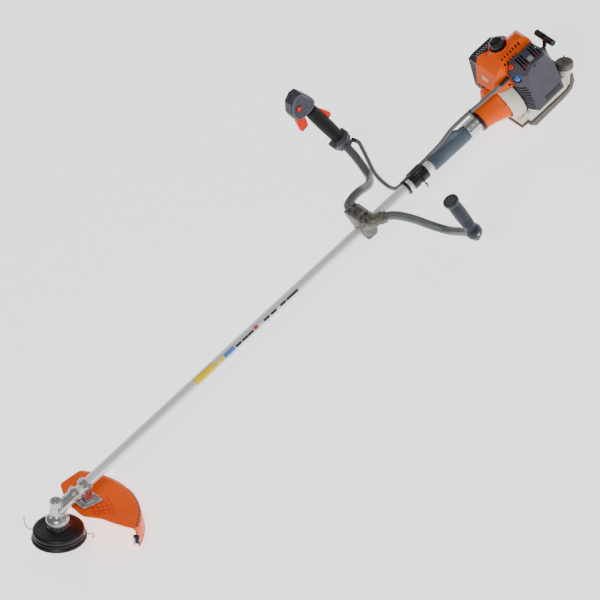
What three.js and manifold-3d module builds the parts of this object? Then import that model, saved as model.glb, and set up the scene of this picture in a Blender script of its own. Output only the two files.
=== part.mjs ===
// A petrol string trimmer with a bike handlebar, lying on the ground on its guard and on the engine's foot.
// Millimetres, +Z up. The machine is drawn in the shaft's frame: +X runs along the drive tube from the
// cutting head to the engine, +Y is the operator's right, and the origin is where the shaft meets the
// head's spin axis.
import * as THREE from "three";
import { mergeVertices } from "three/addons/utils/BufferGeometryUtils.js";
import Module from "manifold-3d";

const wasm = await Module();
wasm.setup();

// ---------------------------------------------------------------- driving dimensions

const GAP = 0.3; // clearance between pieces that touch
const TUBE_RADIUS = 13;
const TUBE_WALL = 1.5;
const TUBE_START = 36;
const TUBE_END = 1486;
const SHAFT_RADIUS = 3.5;

const HEAD_TILT = THREE.MathUtils.degToRad(23); // the spin axis leans this far towards the engine
const HEAD_RADIUS = 69;
const HEAD_TOP = -47;
const HEAD_BOTTOM = -81;
const KNOB_RADIUS = 35;
const LINE_RADIUS = 1.2;
const OUTPUT_RADIUS = 4.5;
const CROWN_TEETH = 19;
const PINION_TEETH = 14;
const GEAR_CONE = 19; // cone distance of the bevel gears

const GUARD_RADIUS = 212;
const GUARD_TOP = -18;
const GUARD_BOTTOM = -69;
const GUARD_SKIN = 3;

const BAR_RADIUS = 11;
const BAR_X = 1052;
const BAR_HEIGHT = 45;
const BAR_END = [1198, 284, -7];
const GRIP_BASE = [1200, 277, 5]; // where the throttle handle's collar holds the bar
const CLAMP_WIDTH = 38;
const CABLE_RADIUS = 4.2;

const CRANK_RADIUS = 6;
const BORE_X = 1586; // the cylinder's axis
const FLOOR_GUARD = [
  GUARD_RADIUS * Math.cos(HEAD_TILT) + GUARD_BOTTOM * Math.sin(HEAD_TILT),
  GUARD_BOTTOM * Math.cos(HEAD_TILT) - GUARD_RADIUS * Math.sin(HEAD_TILT),
]; // x and z of the guard's lowest point
const FOOT = [1596, -88]; // x and z of the middle of the foot's underside
const LEAN = Math.atan((FOOT[1] - FLOOR_GUARD[1]) / (FOOT[0] - FLOOR_GUARD[0]));

// ---------------------------------------------------------------- materials

const finish = (color, roughness, metalness = 0) =>
  new THREE.MeshStandardMaterial({ color, roughness, metalness });

const materials = {
  orange: finish(0xff5a0a, 0.3),
  red: finish(0xee2d12, 0.35),
  black: finish(0x141414, 0.45),
  rubber: finish(0x1a1c22, 0.75),
  darkGrey: finish(0x55555f, 0.5),
  sleeve: finish(0x6e7a88, 0.8),
  barPaint: finish(0x5f6464, 0.4),
  tankPlastic: finish(0xeae6da, 0.5),
  footPlastic: finish(0x6a6560, 0.7),
  tubeMetal: finish(0xc9c9cd, 0.35, 0.9),
  castMetal: finish(0xa5a3a0, 0.55, 0.8),
  steel: finish(0x8a8c90, 0.35, 1),
  blue: finish(0x2f6fb5, 0.3),
  nylon: finish(0x707070, 0.5),
};

// ---------------------------------------------------------------- solids

// A closed geometry as a solid. A profile may be listed either way round: the faces are turned to point out.
function solid(geometry) {
  const bare = new THREE.BufferGeometry();
  bare.setAttribute("position",
    (geometry.index ? geometry.toNonIndexed() : geometry).getAttribute("position"));
  const merged = mergeVertices(bare, 1e-3);
  const vertProperties = merged.attributes.position.array;
  const triVerts = new Uint32Array(merged.index.array);
  const made = new wasm.Manifold(new wasm.Mesh({ numProp: 3, vertProperties, triVerts }));
  if (made.volume() > 0) return made;
  return new wasm.Manifold(new wasm.Mesh({ numProp: 3, vertProperties, triVerts: triVerts.reverse() }));
}

const join = (...bodies) => bodies.reduce((all, next) => all.add(next));
const cut = (body, ...tools) => tools.reduce((left, tool) => left.subtract(tool), body);
const point = (p) => new THREE.Vector3(...p);
const turnTo = (from, to) => new THREE.Quaternion().setFromUnitVectors(point(from), point(to).normalize());

function block([x0, x1], [y0, y1], [z0, z1]) {
  const geometry = new THREE.BoxGeometry(x1 - x0, y1 - y0, z1 - z0);
  return solid(geometry.translate((x0 + x1) / 2, (y0 + y1) / 2, (z0 + z1) / 2));
}

function rod(from, to, radius, sides = 20, endRadius = radius) {
  const along = point(to).sub(point(from));
  const geometry = new THREE.CylinderGeometry(endRadius, radius, along.length(), sides);
  geometry.applyQuaternion(turnTo([0, 1, 0], along.toArray()));
  const middle = point(from).addScaledVector(along, 0.5);
  return solid(geometry.translate(middle.x, middle.y, middle.z));
}

// A closed outline of [radius, height] points, turned about an axis through a base point.
function turned(outline, sides = 24, base = [0, 0, 0], axis = [0, 0, 1]) {
  const points = outline.map(([r, h]) => new THREE.Vector2(r, h));
  if (outline[0][0] > 0) points.push(points[0].clone());
  const geometry = new THREE.LatheGeometry(points, sides);
  geometry.applyQuaternion(turnTo([0, 1, 0], axis));
  return solid(geometry.translate(...base));
}

const turnedAlongShaft = (outline, sides = 24) => turned(outline, sides, [0, 0, 0], [1, 0, 0]);

function shapeOf(outline) {
  return new THREE.Shape(outline.map(([x, y]) => new THREE.Vector2(x, y)));
}

function extruded(outline, depth, bevel) {
  return new THREE.ExtrudeGeometry(shapeOf(outline), {
    depth: depth - 2 * bevel,
    bevelEnabled: bevel > 0,
    bevelSize: bevel,
    bevelThickness: bevel,
    bevelOffset: -bevel,
    bevelSegments: 2,
  }).translate(0, 0, bevel);
}

// An outline of [x, z] points, extruded between two values of y.
const sidePrism = (outline, y0, y1, bevel = 0) =>
  solid(extruded(outline, y1 - y0, bevel).rotateX(Math.PI / 2).translate(0, y1, 0));

// An outline of [x, y] points, extruded between two heights.
const planPrism = (outline, z0, z1, bevel = 0) =>
  solid(extruded(outline, z1 - z0, bevel).translate(0, 0, z0));

// A convex body through rings of matching points.
function loft(rings) {
  const count = rings[0].length;
  const last = (rings.length - 1) * count;
  const index = [];
  for (let ring = 0; ring < last; ring += count) {
    for (let i = 0; i < count; i++) {
      const j = (i + 1) % count;
      index.push(ring + i, ring + j, ring + count + j, ring + i, ring + count + j, ring + count + i);
    }
  }
  for (let i = 1; i < count - 1; i++) index.push(0, i + 1, i, last, last + i, last + i + 1);
  const geometry = new THREE.BufferGeometry();
  geometry.setAttribute("position", new THREE.Float32BufferAttribute(rings.flat(2), 3));
  geometry.setIndex(index);
  return solid(geometry);
}

function circle(radius, sides) {
  return Array.from({ length: sides }, (_, i) => {
    const angle = (2 * Math.PI * i) / sides;
    return [radius * Math.cos(angle), radius * Math.sin(angle)];
  });
}

// A round section along a smooth curve through points.
function swept(points, radius, sides, steps) {
  const extrudePath = new THREE.CatmullRomCurve3(points.map(point), false, "centripetal");
  return solid(new THREE.ExtrudeGeometry(shapeOf(circle(radius, sides)), { steps, extrudePath }));
}

function polar(radius, degrees, z) {
  const angle = THREE.MathUtils.degToRad(degrees);
  const flat = [radius * Math.cos(angle), radius * Math.sin(angle)];
  return z === undefined ? flat : [...flat, z];
}

function part(group, name, body, material) {
  const { vertProperties, triVerts } = body.getMesh();
  const geometry = new THREE.BufferGeometry();
  geometry.setAttribute("position", new THREE.BufferAttribute(vertProperties, 3));
  geometry.setIndex(new THREE.BufferAttribute(triVerts, 1));
  geometry.computeVertexNormals();
  const mesh = new THREE.Mesh(geometry, material);
  mesh.name = name;
  group.add(mesh);
}

// ---------------------------------------------------------------- cutting head, with +Z along its spin axis

const SHAFT_DIRECTION = [Math.cos(HEAD_TILT), 0, Math.sin(HEAD_TILT)];
const alongTube = (distance) => SHAFT_DIRECTION.map((c) => c * distance);

function gearCase() {
  const tower = turned([[0, 34], [13.5, 34], [16, 32], [16, -9], [18, -11], [25, -15], [29.5, -22],
    [29.5, -34], [24, -42], [0, -42]], 24);
  const socket = rod([0, 0, 0], alongTube(62), 17, 24);
  const lug = rod(alongTube(60), alongTube(70), 21, 24);
  const gearRoom = turned([[0, 30], [13.6, 30], [13.6, -8], [20, -20], [20, -50], [0, -50]], 20);
  const pinionRoom = rod([0, 0, 0], alongTube(34), 11.5, 16);
  const tubeBore = rod(alongTube(TUBE_START - 4), alongTube(90), TUBE_RADIUS + GAP, 20);
  return cut(join(tower, socket, lug), gearRoom, pinionRoom, tubeBore);
}

// A bevel gear whose cone's point is the origin and whose outer end faces +Z.
// The tooth outline is drawn on a sphere round the cone's point: radius in the outline is the polar angle.
function bevelGear(teeth, otherTeeth, shaftAngle, firstTooth, bore) {
  const cone = Math.atan2(Math.sin(shaftAngle), otherTeeth / teeth + Math.cos(shaftAngle));
  const pitch = Math.PI / teeth;
  const moduleAngle = (2 * Math.sin(cone)) / teeth;
  const tip = cone + 0.75 * moduleAngle;
  const root = cone - 1.1 * moduleAngle;
  const outline = [];
  for (let tooth = 0; tooth < teeth; tooth++) {
    const middle = firstTooth + 2 * pitch * tooth;
    for (const [polarAngle, offset] of [[root, -0.62], [tip, -0.22], [tip, 0.22], [root, 0.62]]) {
      const angle = middle + offset * pitch;
      outline.push([polarAngle * Math.cos(angle), polarAngle * Math.sin(angle)]);
    }
  }
  const geometry = new THREE.ExtrudeGeometry(shapeOf(outline), { depth: 1, bevelEnabled: false });
  const place = geometry.getAttribute("position");
  for (let i = 0; i < place.count; i++) {
    const x = place.getX(i);
    const y = place.getY(i);
    const polarAngle = Math.hypot(x, y);
    const distance = GEAR_CONE * (0.62 + 0.38 * place.getZ(i));
    const flat = (distance * Math.sin(polarAngle)) / polarAngle;
    place.setXYZ(i, x * flat, y * flat, distance * Math.cos(polarAngle));
  }
  const back = GEAR_CONE * Math.cos(cone);
  const hub = rod([0, 0, back - 2], [0, 0, back + 4], GEAR_CONE * Math.sin(cone) * 0.7);
  return cut(join(solid(geometry), hub), rod([0, 0, -5], [0, 0, back + 9], bore));
}

function spoolHousing() {
  return turned([[5, HEAD_TOP], [58, HEAD_TOP], [64, HEAD_TOP - 4], [65, HEAD_TOP - 9], [65, -60],
    [62.5, -62], [65, -64], [65, -70], [61.5, -70], [61.5, HEAD_TOP - 5], [5, HEAD_TOP - 3.5]], 32);
}

const spoolCap = () =>
  turned([[KNOB_RADIUS + 2, HEAD_BOTTOM], [HEAD_RADIUS - 3, HEAD_BOTTOM], [HEAD_RADIUS, HEAD_BOTTOM + 3],
    [HEAD_RADIUS, -74], [66, -70.4], [KNOB_RADIUS + 2, -70.4]], 32);

function lineSpool() {
  const reel = turned([[6, -69.5], [58, -69.5], [58, -67], [50, -67], [50, -56], [58, -56], [58, -53.5],
    [6, -53.5]], 24);
  const springPocket = rod([0, 0, -75], [0, 0, -58], 20);
  return cut(reel, springPocket);
}

const bumpKnob = () =>
  turned([[0, -104], [22, -104], [30, -101.5], [34, -96], [KNOB_RADIUS, -88], [KNOB_RADIUS, -76], [30, -76],
    [30, -92], [0, -92]], 28);

function bumpSpring() {
  const turns = 4;
  const points = Array.from({ length: turns * 8 + 1 },
    (_, i) => polar(15, i * 45, -90 + (i * 20) / (turns * 8)));
  return swept(points, 1, 5, turns * 8);
}

// The two ends of the nylon line: each leaves the housing's wall and curls in the plane of the disc.
const LINE_TAILS = {
  line_tail_front: [[-44.2, 49.2, -61], [-47.3, 52.7, -61.5], [-49, 58, -61.5], [-50, 65.5, -60.5],
    [-49, 73.5, -58.5], [-46, 81.5, -55.5], [-41.5, 88.5, -51.5], [-37.5, 93.5, -47]],
  line_tail_rear: [[44.2, -49.2, -61], [49, -54.5, -61.5], [54, -60.5, -61.5], [57.5, -65, -61.5],
    [57.5, -70, -62], [54, -73.5, -62.5], [48.5, -74, -63]],
};

function addHead(group) {
  const output = [0, 0, 1];
  part(group, "gear_case", gearCase(), materials.castMetal);
  part(group, "lower_bearing", turned([[5, -40], [19.6, -40], [19.6, -30], [5, -30]], 28), materials.steel);
  part(group, "output_shaft", rod([0, 0, -66], [0, 0, 27], OUTPUT_RADIUS), materials.steel);
  const shaftAngle = Math.PI / 2 - HEAD_TILT;
  const crown = bevelGear(CROWN_TEETH, PINION_TEETH, shaftAngle, Math.PI / CROWN_TEETH, OUTPUT_RADIUS + GAP);
  part(group, "crown_gear", crown, materials.steel);
  part(group, "spool_adapter", turned([[5, -46.6], [28, -46.6], [28, -42.6], [5, -42.6]]), materials.steel);
  const lineHole = (side) =>
    rod(polar(40 * side, 132, -61), polar(80 * side, 132, -61), LINE_RADIUS + 1.6, 12);
  part(group, "spool_housing", cut(spoolHousing(), lineHole(1), lineHole(-1)), materials.black);
  part(group, "line_spool", lineSpool(), materials.black);
  part(group, "spool_cap", spoolCap(), materials.black);
  part(group, "bump_knob", bumpKnob(), materials.black);
  part(group, "bump_spring", bumpSpring(), materials.steel);
  for (const [name, points] of Object.entries(LINE_TAILS)) {
    part(group, name, swept(points, LINE_RADIUS, 8, 14), materials.nylon);
  }
  const pinion = bevelGear(PINION_TEETH, CROWN_TEETH, shaftAngle, 0, SHAFT_RADIUS + GAP);
  const pinionSeat = new THREE.Group();
  pinionSeat.quaternion.copy(turnTo(output, SHAFT_DIRECTION));
  part(pinionSeat, "pinion_gear", pinion.rotate([0, 0, 180]), materials.steel);
  group.add(pinionSeat);
}

// ---------------------------------------------------------------- guard, in the head's frame

function guardShell() {
  const [top, rim] = [GUARD_TOP, GUARD_RADIUS];
  const shell = turned([[52, top], [150, top + 2], [198, top + 1], [205, top - 5], [rim, GUARD_BOTTOM],
    [rim - GUARD_SKIN, GUARD_BOTTOM], [202, top - 6], [196, top - 2], [149, top - 1],
    [52, top - GUARD_SKIN]], 60);
  const plan = [[50, -30], [54, -43.5], [79.5, -78.5], [90, -114], [106, -148], [136, -194], [300, -194],
    [300, 150], [153, 123.5], [82.7, 108], [70, 78], [52, 40]];
  return shell.intersect(planPrism(plan, GUARD_BOTTOM - 10, top + 10));
}

function guardBracket() {
  const ring = rod(alongTube(84), alongTube(102), 19, 28);
  const leg = block([72, 108], [-16, 16], [GUARD_TOP + 2, 34]);
  const plate = block([62, 124], [-24, 24], [GUARD_TOP + 2, GUARD_TOP + 6]);
  return cut(join(ring, leg, plate), rod(alongTube(60), alongTube(140), TUBE_RADIUS + GAP, 28),
    block([60, 120], [-40, 40], [60, 80]), rod(alongTube(50), alongTube(73), 22));
}

// The blade that trims the line, and its holder, stand at the left end of the skirt.
function addCutter(group) {
  const seat = new THREE.Group();
  seat.rotation.z = THREE.MathUtils.degToRad(-54.9);
  const holder = cut(block([198, 214], [-8, 0], [-59, -35]), block([202, 206], [-10, -2], [-60, -34]));
  part(seat, "cutter_holder", holder, materials.black);
  part(seat, "line_cutter", block([202.3, 205.7], [-15, -2.4], [-57, -37]), materials.steel);
  group.add(seat);
}

// ---------------------------------------------------------------- shaft

// The throttle conduit: from the throttle handle round to the tube's far side, under the harness clamp and
// the sleeve, and over the clutch housing to the engine.
const CABLE_ROUTE = [[1222, 268, -12], [1228, 252, -18], [1219, 222, -20], [1204, 182, -20],
  [1187, 136, -19], [1178, 88, -16], [1176, 48, -11], [1180, 24, -2], [1194, 18, 2], [1214, 17.5, 5],
  [1240, 16, 9], [1264, 13.5, 13], [1290, 9, 18.5], [1318, 4, 26], [1345, 0, 36], [1368, -1, 43.5],
  [1400, -2, 46.5], [1435, -5, 49], [1470, -16, 57], [1496, -26, 66], [1520, -37, 76], [1540, -45, 85],
  [1551, -49, 90]];
const cableSpace = (extra) => swept(CABLE_ROUTE, CABLE_RADIUS + extra, 8, 48);

const sleeveOutline = [[20.5, 1284], [20.5, 1401], [18, 1403], [TUBE_RADIUS + GAP, 1403],
  [TUBE_RADIUS + GAP, 1282], [18, 1282]];

function rearSleeve() {
  const flare = loft([
    [[1286, 2, 10], [1286, 20, 8], [1286, 16, 20], [1286, 2, 22]],
    [[1366, -8, 10], [1366, 9, 10], [1366, 5, 38], [1366, -6, 38]],
    [[1396, -7, 10], [1396, 7, 10], [1396, 5, 19], [1396, -5, 19]],
  ]);
  const tubeSpace = rod([1270, 0, 0], [1420, 0, 0], TUBE_RADIUS + GAP, 28);
  return cut(join(turnedAlongShaft(sleeveOutline, 28), cut(flare, tubeSpace)), cableSpace(0.5));
}

function harnessClamp() {
  const shell = turnedAlongShaft([[19, 1212], [20, 1214], [20, 1230], [18.5, 1231], [18.5, 1235],
    [20, 1236], [20, 1260], [19, 1262], [TUBE_RADIUS + GAP, 1262], [TUBE_RADIUS + GAP, 1212]], 24);
  const cableCover = rod([1216, 14.5, 5], [1258, 12, 10], 10.5, 20);
  const boltLug = block([1228, 1250], [-7, 7], [14, 27]);
  const tubeSpace = rod([1200, 0, 0], [1280, 0, 0], TUBE_RADIUS + GAP, 24);
  return cut(join(shell, cut(join(cableCover, boltLug), tubeSpace)), cableSpace(0.5));
}

// The harness eyelet: a steel eye bolted under the clamp's lower near side.
function harnessEyelet() {
  const outward = [0, -Math.SQRT1_2, -Math.SQRT1_2];
  const place = (distance, x = 1240) => [x, outward[1] * distance, outward[2] * distance];
  const eye = rod(place(31, 1237), place(31, 1242), 8, 24).add(
    loft([1237, 1242].map((x) => [place(21, x), place(31, x)].flatMap(([, y, z], i) =>
      (i ? [5, -5] : [-5, 5]).map((s) => [x, y - s * outward[2], z + s * outward[1]])))));
  return cut(eye, rod(place(31, 1230), place(31, 1250), 4.5, 20));
}

function addShaft(group) {
  const drive = rod([13, 0, 0], [1494, 0, 0], SHAFT_RADIUS, 16);
  const inner = TUBE_RADIUS - TUBE_WALL;
  part(group, "drive_tube", turnedAlongShaft([[TUBE_RADIUS, TUBE_START], [TUBE_RADIUS, TUBE_END],
    [inner, TUBE_END], [inner, TUBE_START]], 32), materials.tubeMetal);
  part(group, "drive_shaft", drive, materials.steel);
  part(group, "shaft_bush", turnedAlongShaft([[3.8, 740], [11.2, 740], [11.2, 780], [3.8, 780]], 20),
    materials.black);
  const ring = turnedAlongShaft([[20.5, 1193], [20.5, 1199], [TUBE_RADIUS + GAP, 1199],
    [TUBE_RADIUS + GAP, 1193]], 24);
  part(group, "stop_ring", cut(ring, cableSpace(0.5)), materials.black);
  part(group, "harness_clamp", harnessClamp(), materials.black);
  part(group, "harness_eyelet", harnessEyelet(), materials.steel);
  part(group, "rear_sleeve", rearSleeve(), materials.sleeve);
  part(group, "coupling_collar", turnedAlongShaft([[21, 1404], [22.5, 1406], [22.5, 1441],
    [TUBE_RADIUS + GAP, 1441], [TUBE_RADIUS + GAP, 1404]], 28), materials.tubeMetal);
  part(group, "throttle_cable", cableSpace(0), materials.darkGrey);
}

// ---------------------------------------------------------------- handlebar and its grips

const mirrored = ([x, y, z]) => [x, -y, z];
const BAR_RIGHT = [[BAR_X, 30, BAR_HEIGHT], [1056, 47, BAR_HEIGHT], [1077, 58, 43], [1105, 70, 33],
  [1136, 94, 4], [1160, 127, -26], [1180, 166, -42], [1192, 215, -27], [1197, 254, -12], BAR_END];
const barDirection = point(BAR_END).sub(point(BAR_RIGHT[BAR_RIGHT.length - 2])).normalize().toArray();

function handlebar() {
  const route = [...BAR_RIGHT.map(mirrored).reverse(), [BAR_X, 0, BAR_HEIGHT], ...BAR_RIGHT];
  return swept(route, BAR_RADIUS, 12, 44);
}

const barSpace = rod([BAR_X, -80, BAR_HEIGHT], [BAR_X, 80, BAR_HEIGHT], BAR_RADIUS + GAP + 0.1, 16);

function addClamp(group) {
  const [front, back] = [BAR_X - 19, BAR_X + 19];
  const tubeSpace = rod([front - 9, 0, 0], [back + 20, 0, 0], TUBE_RADIUS + GAP + 0.2, 20);
  const lower = sidePrism([[front, -0.6], [front, -14], [front + 8, -23], [back - 8, -23], [back, -14],
    [back, -0.6]], -27, 27, 3);
  const tier = (z, half, inset, reach = 0) => {
    const corners = [[front, -half], [back + reach, -half], [back + reach, half], [front, half]];
    return corners.map(([x, y]) => [x + (x > BAR_X ? -inset : inset), y - 6, z]);
  };
  const middle = loft([tier(0.6, 27, 0, 14), tier(20, 30, 0, 14), tier(BAR_HEIGHT - 0.6, CLAMP_WIDTH, 0, 6)]);
  const cap = loft([tier(BAR_HEIGHT + 0.6, CLAMP_WIDTH, 0), tier(56, CLAMP_WIDTH, 0),
    tier(62, CLAMP_WIDTH - 6, 7)]);
  const bends = handlebarSpace();
  part(group, "clamp_lower", cut(lower, tubeSpace), materials.castMetal);
  part(group, "clamp_middle", cut(middle, tubeSpace, barSpace, bends), materials.castMetal);
  part(group, "clamp_cap", cut(cap, barSpace, bends), materials.castMetal);
}

const handlebarSpace = () =>
  swept([...BAR_RIGHT.slice(0, 5).map(mirrored).reverse(), [BAR_X, 0, BAR_HEIGHT], ...BAR_RIGHT.slice(0, 5)],
    BAR_RADIUS + 1.4, 10, 24);

// A frame with its origin at one end of the bar and +Z along the grip that stands there.
function gripFrame(end, up) {
  const frame = new THREE.Group();
  frame.position.set(...end);
  frame.quaternion.copy(turnTo([0, 0, 1], up));
  return frame;
}

// The bar's hole through a grip, in that grip's own frame.
function barBore(end, direction, base, up) {
  const back = turnTo([0, 0, 1], up).invert();
  const inFrame = (distance) =>
    point(end).addScaledVector(point(direction), distance).sub(point(base)).applyQuaternion(back).toArray();
  return rod(inFrame(-70), inFrame(40), BAR_RADIUS + 1.2, 20);
}

function addLeftGrip(group) {
  const up = [-0.07, 0.12, 0.99];
  const frame = gripFrame(mirrored(GRIP_BASE), up);
  const body = turned([[0, -15], [12, -14], [19, -8], [21, 2], [20, 13], [16, 20], [15, 27], [16.5, 48],
    [17.5, 78], [16.5, 104], [17.5, 111], [20.5, 118], [20.5, 124], [18.5, 126.5], [17, 123], [0, 123]], 20);
  const bore = barBore(mirrored(BAR_END), mirrored(barDirection), mirrored(GRIP_BASE), up);
  part(frame, "left_grip", cut(body, bore), materials.rubber);
  group.add(frame);
}

const HANDLE_UP = [-0.2, 0.03, 0.98];
const HEAD_OUTLINE = [[-20, 156], [12, 156], [23, 166], [25, 176], [20, 200], [13, 225], [-2, 231],
  [-26, 222], [-43, 199], [-45, 186], [-43, 169]];
const BUTTON = [-19, 195]; // x and z of the stop button, on the handle's near face

function handleShell() {
  const collar = turned([[0, -26], [17, -26], [24, -18], [24, 8], [18, 16], [0, 16]], 28);
  const flange = sidePrism([[-30, 2], [-26, -10], [20, -10], [25, 0], [25, 14], [-30, 14]], -13, 13, 3);
  const core = rod([0, 0, 10], [0, 0, 162], 12);
  const head = sidePrism(HEAD_OUTLINE, -17, 17, 5);
  const lockoutSlot = block([4, 30], [-6, 6], [76, 138]);
  const buttonPocket = rod([BUTTON[0], -20, BUTTON[1]], [BUTTON[0], -8, BUTTON[1]], 7, 20);
  const cableSocket = rod([22, -8, -40], [20, -10, 2], CABLE_RADIUS + 4.2, 12);
  const bore = barBore(BAR_END, barDirection, GRIP_BASE, HANDLE_UP);
  return cut(join(collar, flange, core, head), lockoutSlot, buttonPocket, cableSocket, bore);
}

function gripSleeve() {
  const profile = [[16.3, 15.5], [32, 16], [70, 17.5], [104, 16.5], [138, 17.5], [155.5, 16]];
  const outer = loft(profile.map(([z, r]) => circle(1, 20).map(([x, y]) => [x * (r + 1), y * r, z])));
  return cut(outer, rod([0, 0, 0], [0, 0, 170], 12 + GAP), block([4, 30], [-6, 6], [76, 138]));
}

function addThrottleHandle(group) {
  const frame = gripFrame(GRIP_BASE, HANDLE_UP);
  const trigger = sidePrism([[-21, 154.5], [-43, 167], [-49, 148], [-54, 128], [-51, 123], [-31, 122],
    [-25, 136]], -5.5, 5.5, 1.5);
  const lockout = sidePrism([[12.6, 132], [18, 132], [24, 114], [31, 91], [28, 84], [12.6, 82]], -5, 5, 1.2);
  part(frame, "handle_shell", handleShell(), materials.darkGrey);
  part(frame, "grip_sleeve", gripSleeve(), materials.black);
  part(frame, "throttle_trigger", trigger, materials.red);
  part(frame, "lockout_lever", lockout, materials.red);
  part(frame, "stop_button", rod([BUTTON[0], -19.5, BUTTON[1]], [BUTTON[0], -12, BUTTON[1]], 6.5, 20),
    materials.red);
  group.add(frame);
}

// ---------------------------------------------------------------- engine

function clutchHousing() {
  const shell = turnedAlongShaft([[27.5, 1443], [28.5, 1452], [35, 1482], [43, 1506], [46.5, 1513],
    [46.5, 1519], [41.5, 1519], [38.5, 1504], [35, 1488], [TUBE_RADIUS + GAP, 1488],
    [TUBE_RADIUS + GAP, 1443]], 28);
  const bosses = loft([[1488, 34, 30], [1500, 46, 44], [1512, 48, 47]].map(([x, y, z]) =>
    [[x, 4, 8], [x, y, 8], [x, y - 8, z - 8], [x, y - 26, z], [x, 4, z]]));
  const inside = rod([1480, 0, 0], [1520, 0, 0], 33.8, 28, 44.7);
  return join(shell, cut(bosses, inside));
}

function clutchShoes() {
  const disc = turnedAlongShaft([[CRANK_RADIUS + GAP, 1497], [30, 1497], [30, 1511],
    [CRANK_RADIUS + GAP, 1511]], 24);
  const slot = (side) => block([1490, 1520], side > 0 ? [12, 40] : [-40, -12], [-1.5, 1.5]);
  return cut(disc, slot(1), slot(-1));
}

function flywheel() {
  const disc = turnedAlongShaft([[CRANK_RADIUS + GAP, 1532], [46, 1532], [46, 1540], [14, 1540], [14, 1546],
    [CRANK_RADIUS + GAP, 1546]], 20);
  const fins = Array.from({ length: 10 }, (_, i) => {
    const fin = block([1523, 1533], [-1.5, 1.5], [24, 45]);
    return fin.rotate([i * 36, 0, 0]);
  });
  return join(disc, ...fins);
}

function crankshaft() {
  const journal = (x0, x1) => rod([x0, 0, 0], [x1, 0, 0], CRANK_RADIUS, 14);
  const web = (x0, x1) => rod([x0, 0, 0], [x1, 0, 0], 22, 20);
  const pin = rod([1577, 0, 14], [1595, 0, 14], 5, 16);
  return join(journal(1496, 1578), web(1571, 1578), pin, web(1594, 1601), journal(1594, 1655));
}

function crankcase() {
  const corner = 12;
  const outline = [[-34, -38 + corner], [-34 + corner, -38], [34 - corner, -38], [34, -38 + corner],
    [34, 43], [-34, 43]];
  const body = loft([1556, 1622].map((x) => outline.map(([y, z]) => [x, y, z])));
  const crankRoom = rod([1566, 0, 0], [1608, 0, 0], 25, 20);
  const journals = rod([1545, 0, 0], [1640, 0, 0], CRANK_RADIUS + GAP, 20);
  return cut(body, crankRoom, journals, rod([BORE_X, 0, 0], [BORE_X, 0, 60], 17));
}

function cylinder() {
  const fins = [];
  for (let z = 103; z > 50; z -= 11) fins.push([30, z], [30, z - 3.5], [21.5, z - 4], [21.5, z - 10.5]);
  const outline = [[0, 112], [18, 112], [22, 108], ...fins, [30, 47.5], [30, 43.5], [17, 43.5], [17, 103],
    [0, 103]];
  const plugHole = rod([BORE_X, 0, 90], [BORE_X, 0, 130], 5 + GAP, 16);
  return cut(turned(outline, 14, [BORE_X, 0, 0]), plugHole);
}

const piston = () => turned([[0, 100], [16, 100], [16, 72], [13.5, 72], [13.5, 94], [0, 94]], 20,
  [BORE_X, 0, 0]);

function sparkPlug() {
  return join(rod([BORE_X, 0, 101], [BORE_X, 0, 113], 5, 16), rod([BORE_X, 0, 112.3], [BORE_X, 0, 121], 8, 6),
    rod([BORE_X, 0, 120], [BORE_X, 0, 148], 4, 16));
}

function plugBoot() {
  const section = ([z, rx, ry]) => circle(1, 20).map(([x, y]) => [BORE_X + 3 + x * rx, 6 + y * ry, z]);
  const boot = loft([[122, 9, 9], [128, 15, 14], [150, 20, 19], [160, 17, 16], [165, 9, 9]].map(section));
  return cut(boot, rod([BORE_X, 0, 110], [BORE_X, 0, 150], 4.4, 16));
}

// The engine shroud: a side outline crossed with a plan that tapers towards the clutch housing, and with a
// section whose far side falls away behind the plug boot.
function shroudBody(inset) {
  const side = [[1506 + inset, 50 - inset], [1517 + inset, 74], [1531 + inset, 106 - inset],
    [1546, 124 - inset], [1562, 138 - inset], [1600, 141 - inset], [1622, 146 - inset], [1642, 146 - inset],
    [1655 - inset, 130], [1655 - inset, 50 - inset]];
  const plan = [[1500 + inset, -16 + inset], [1552, -44 + inset], [1658, -44 + inset], [1658, 50 - inset],
    [1500 + inset, 50 - inset]];
  const section = (farTop) => [[-44 + inset, 40], [-44 + inset, 118], [-36, 134 - inset],
    [-28, 146 - inset], [-6, 146 - inset], [16, 132 - inset], [34, farTop + 16 - inset],
    [50 - inset, farTop - inset], [50 - inset, 40]];
  const across = loft([[1490, 118], [1548, 118], [1585, 98], [1612, 84], [1670, 84]].map(([x, farTop]) =>
    section(farTop).map(([y, z]) => [x, y, z])));
  return sidePrism(side, -44 + inset, 50 - inset, 0).intersect(planPrism(plan, 0, 170, 0)).intersect(across);
}

function shroud() {
  const bootOpening = rod([BORE_X + 3, 6, 100], [BORE_X + 3, 6, 170], 23, 24);
  const louvre = (i) => block([1570 + i * 9, 1573.5 + i * 9], [-50, -34], [110, 122]);
  const louvres = Array.from({ length: 9 }, (_, i) => louvre(i));
  const underside = block([1505.5, 1652], [-12, 46.5], [40, 56]);
  return cut(shroudBody(0), shroudBody(3), underside, bootOpening, cableSpace(1), ...louvres);
}

function mufflerGuard() {
  const outline = [[1517, 4], [1515, 20], [1532, 102], [1545, 106], [1608, 106], [1638, 82], [1646, 72],
    [1646, 8], [1640, 2]];
  const inner = [[1520, 7], [1518.5, 20], [1534.5, 99.5], [1546, 103], [1606.5, 103], [1636, 80],
    [1643, 71], [1643, 9], [1639, 5]];
  return cut(sidePrism(outline, 51, 84, 0), sidePrism(inner, 40, 81.5, 0));
}

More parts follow.
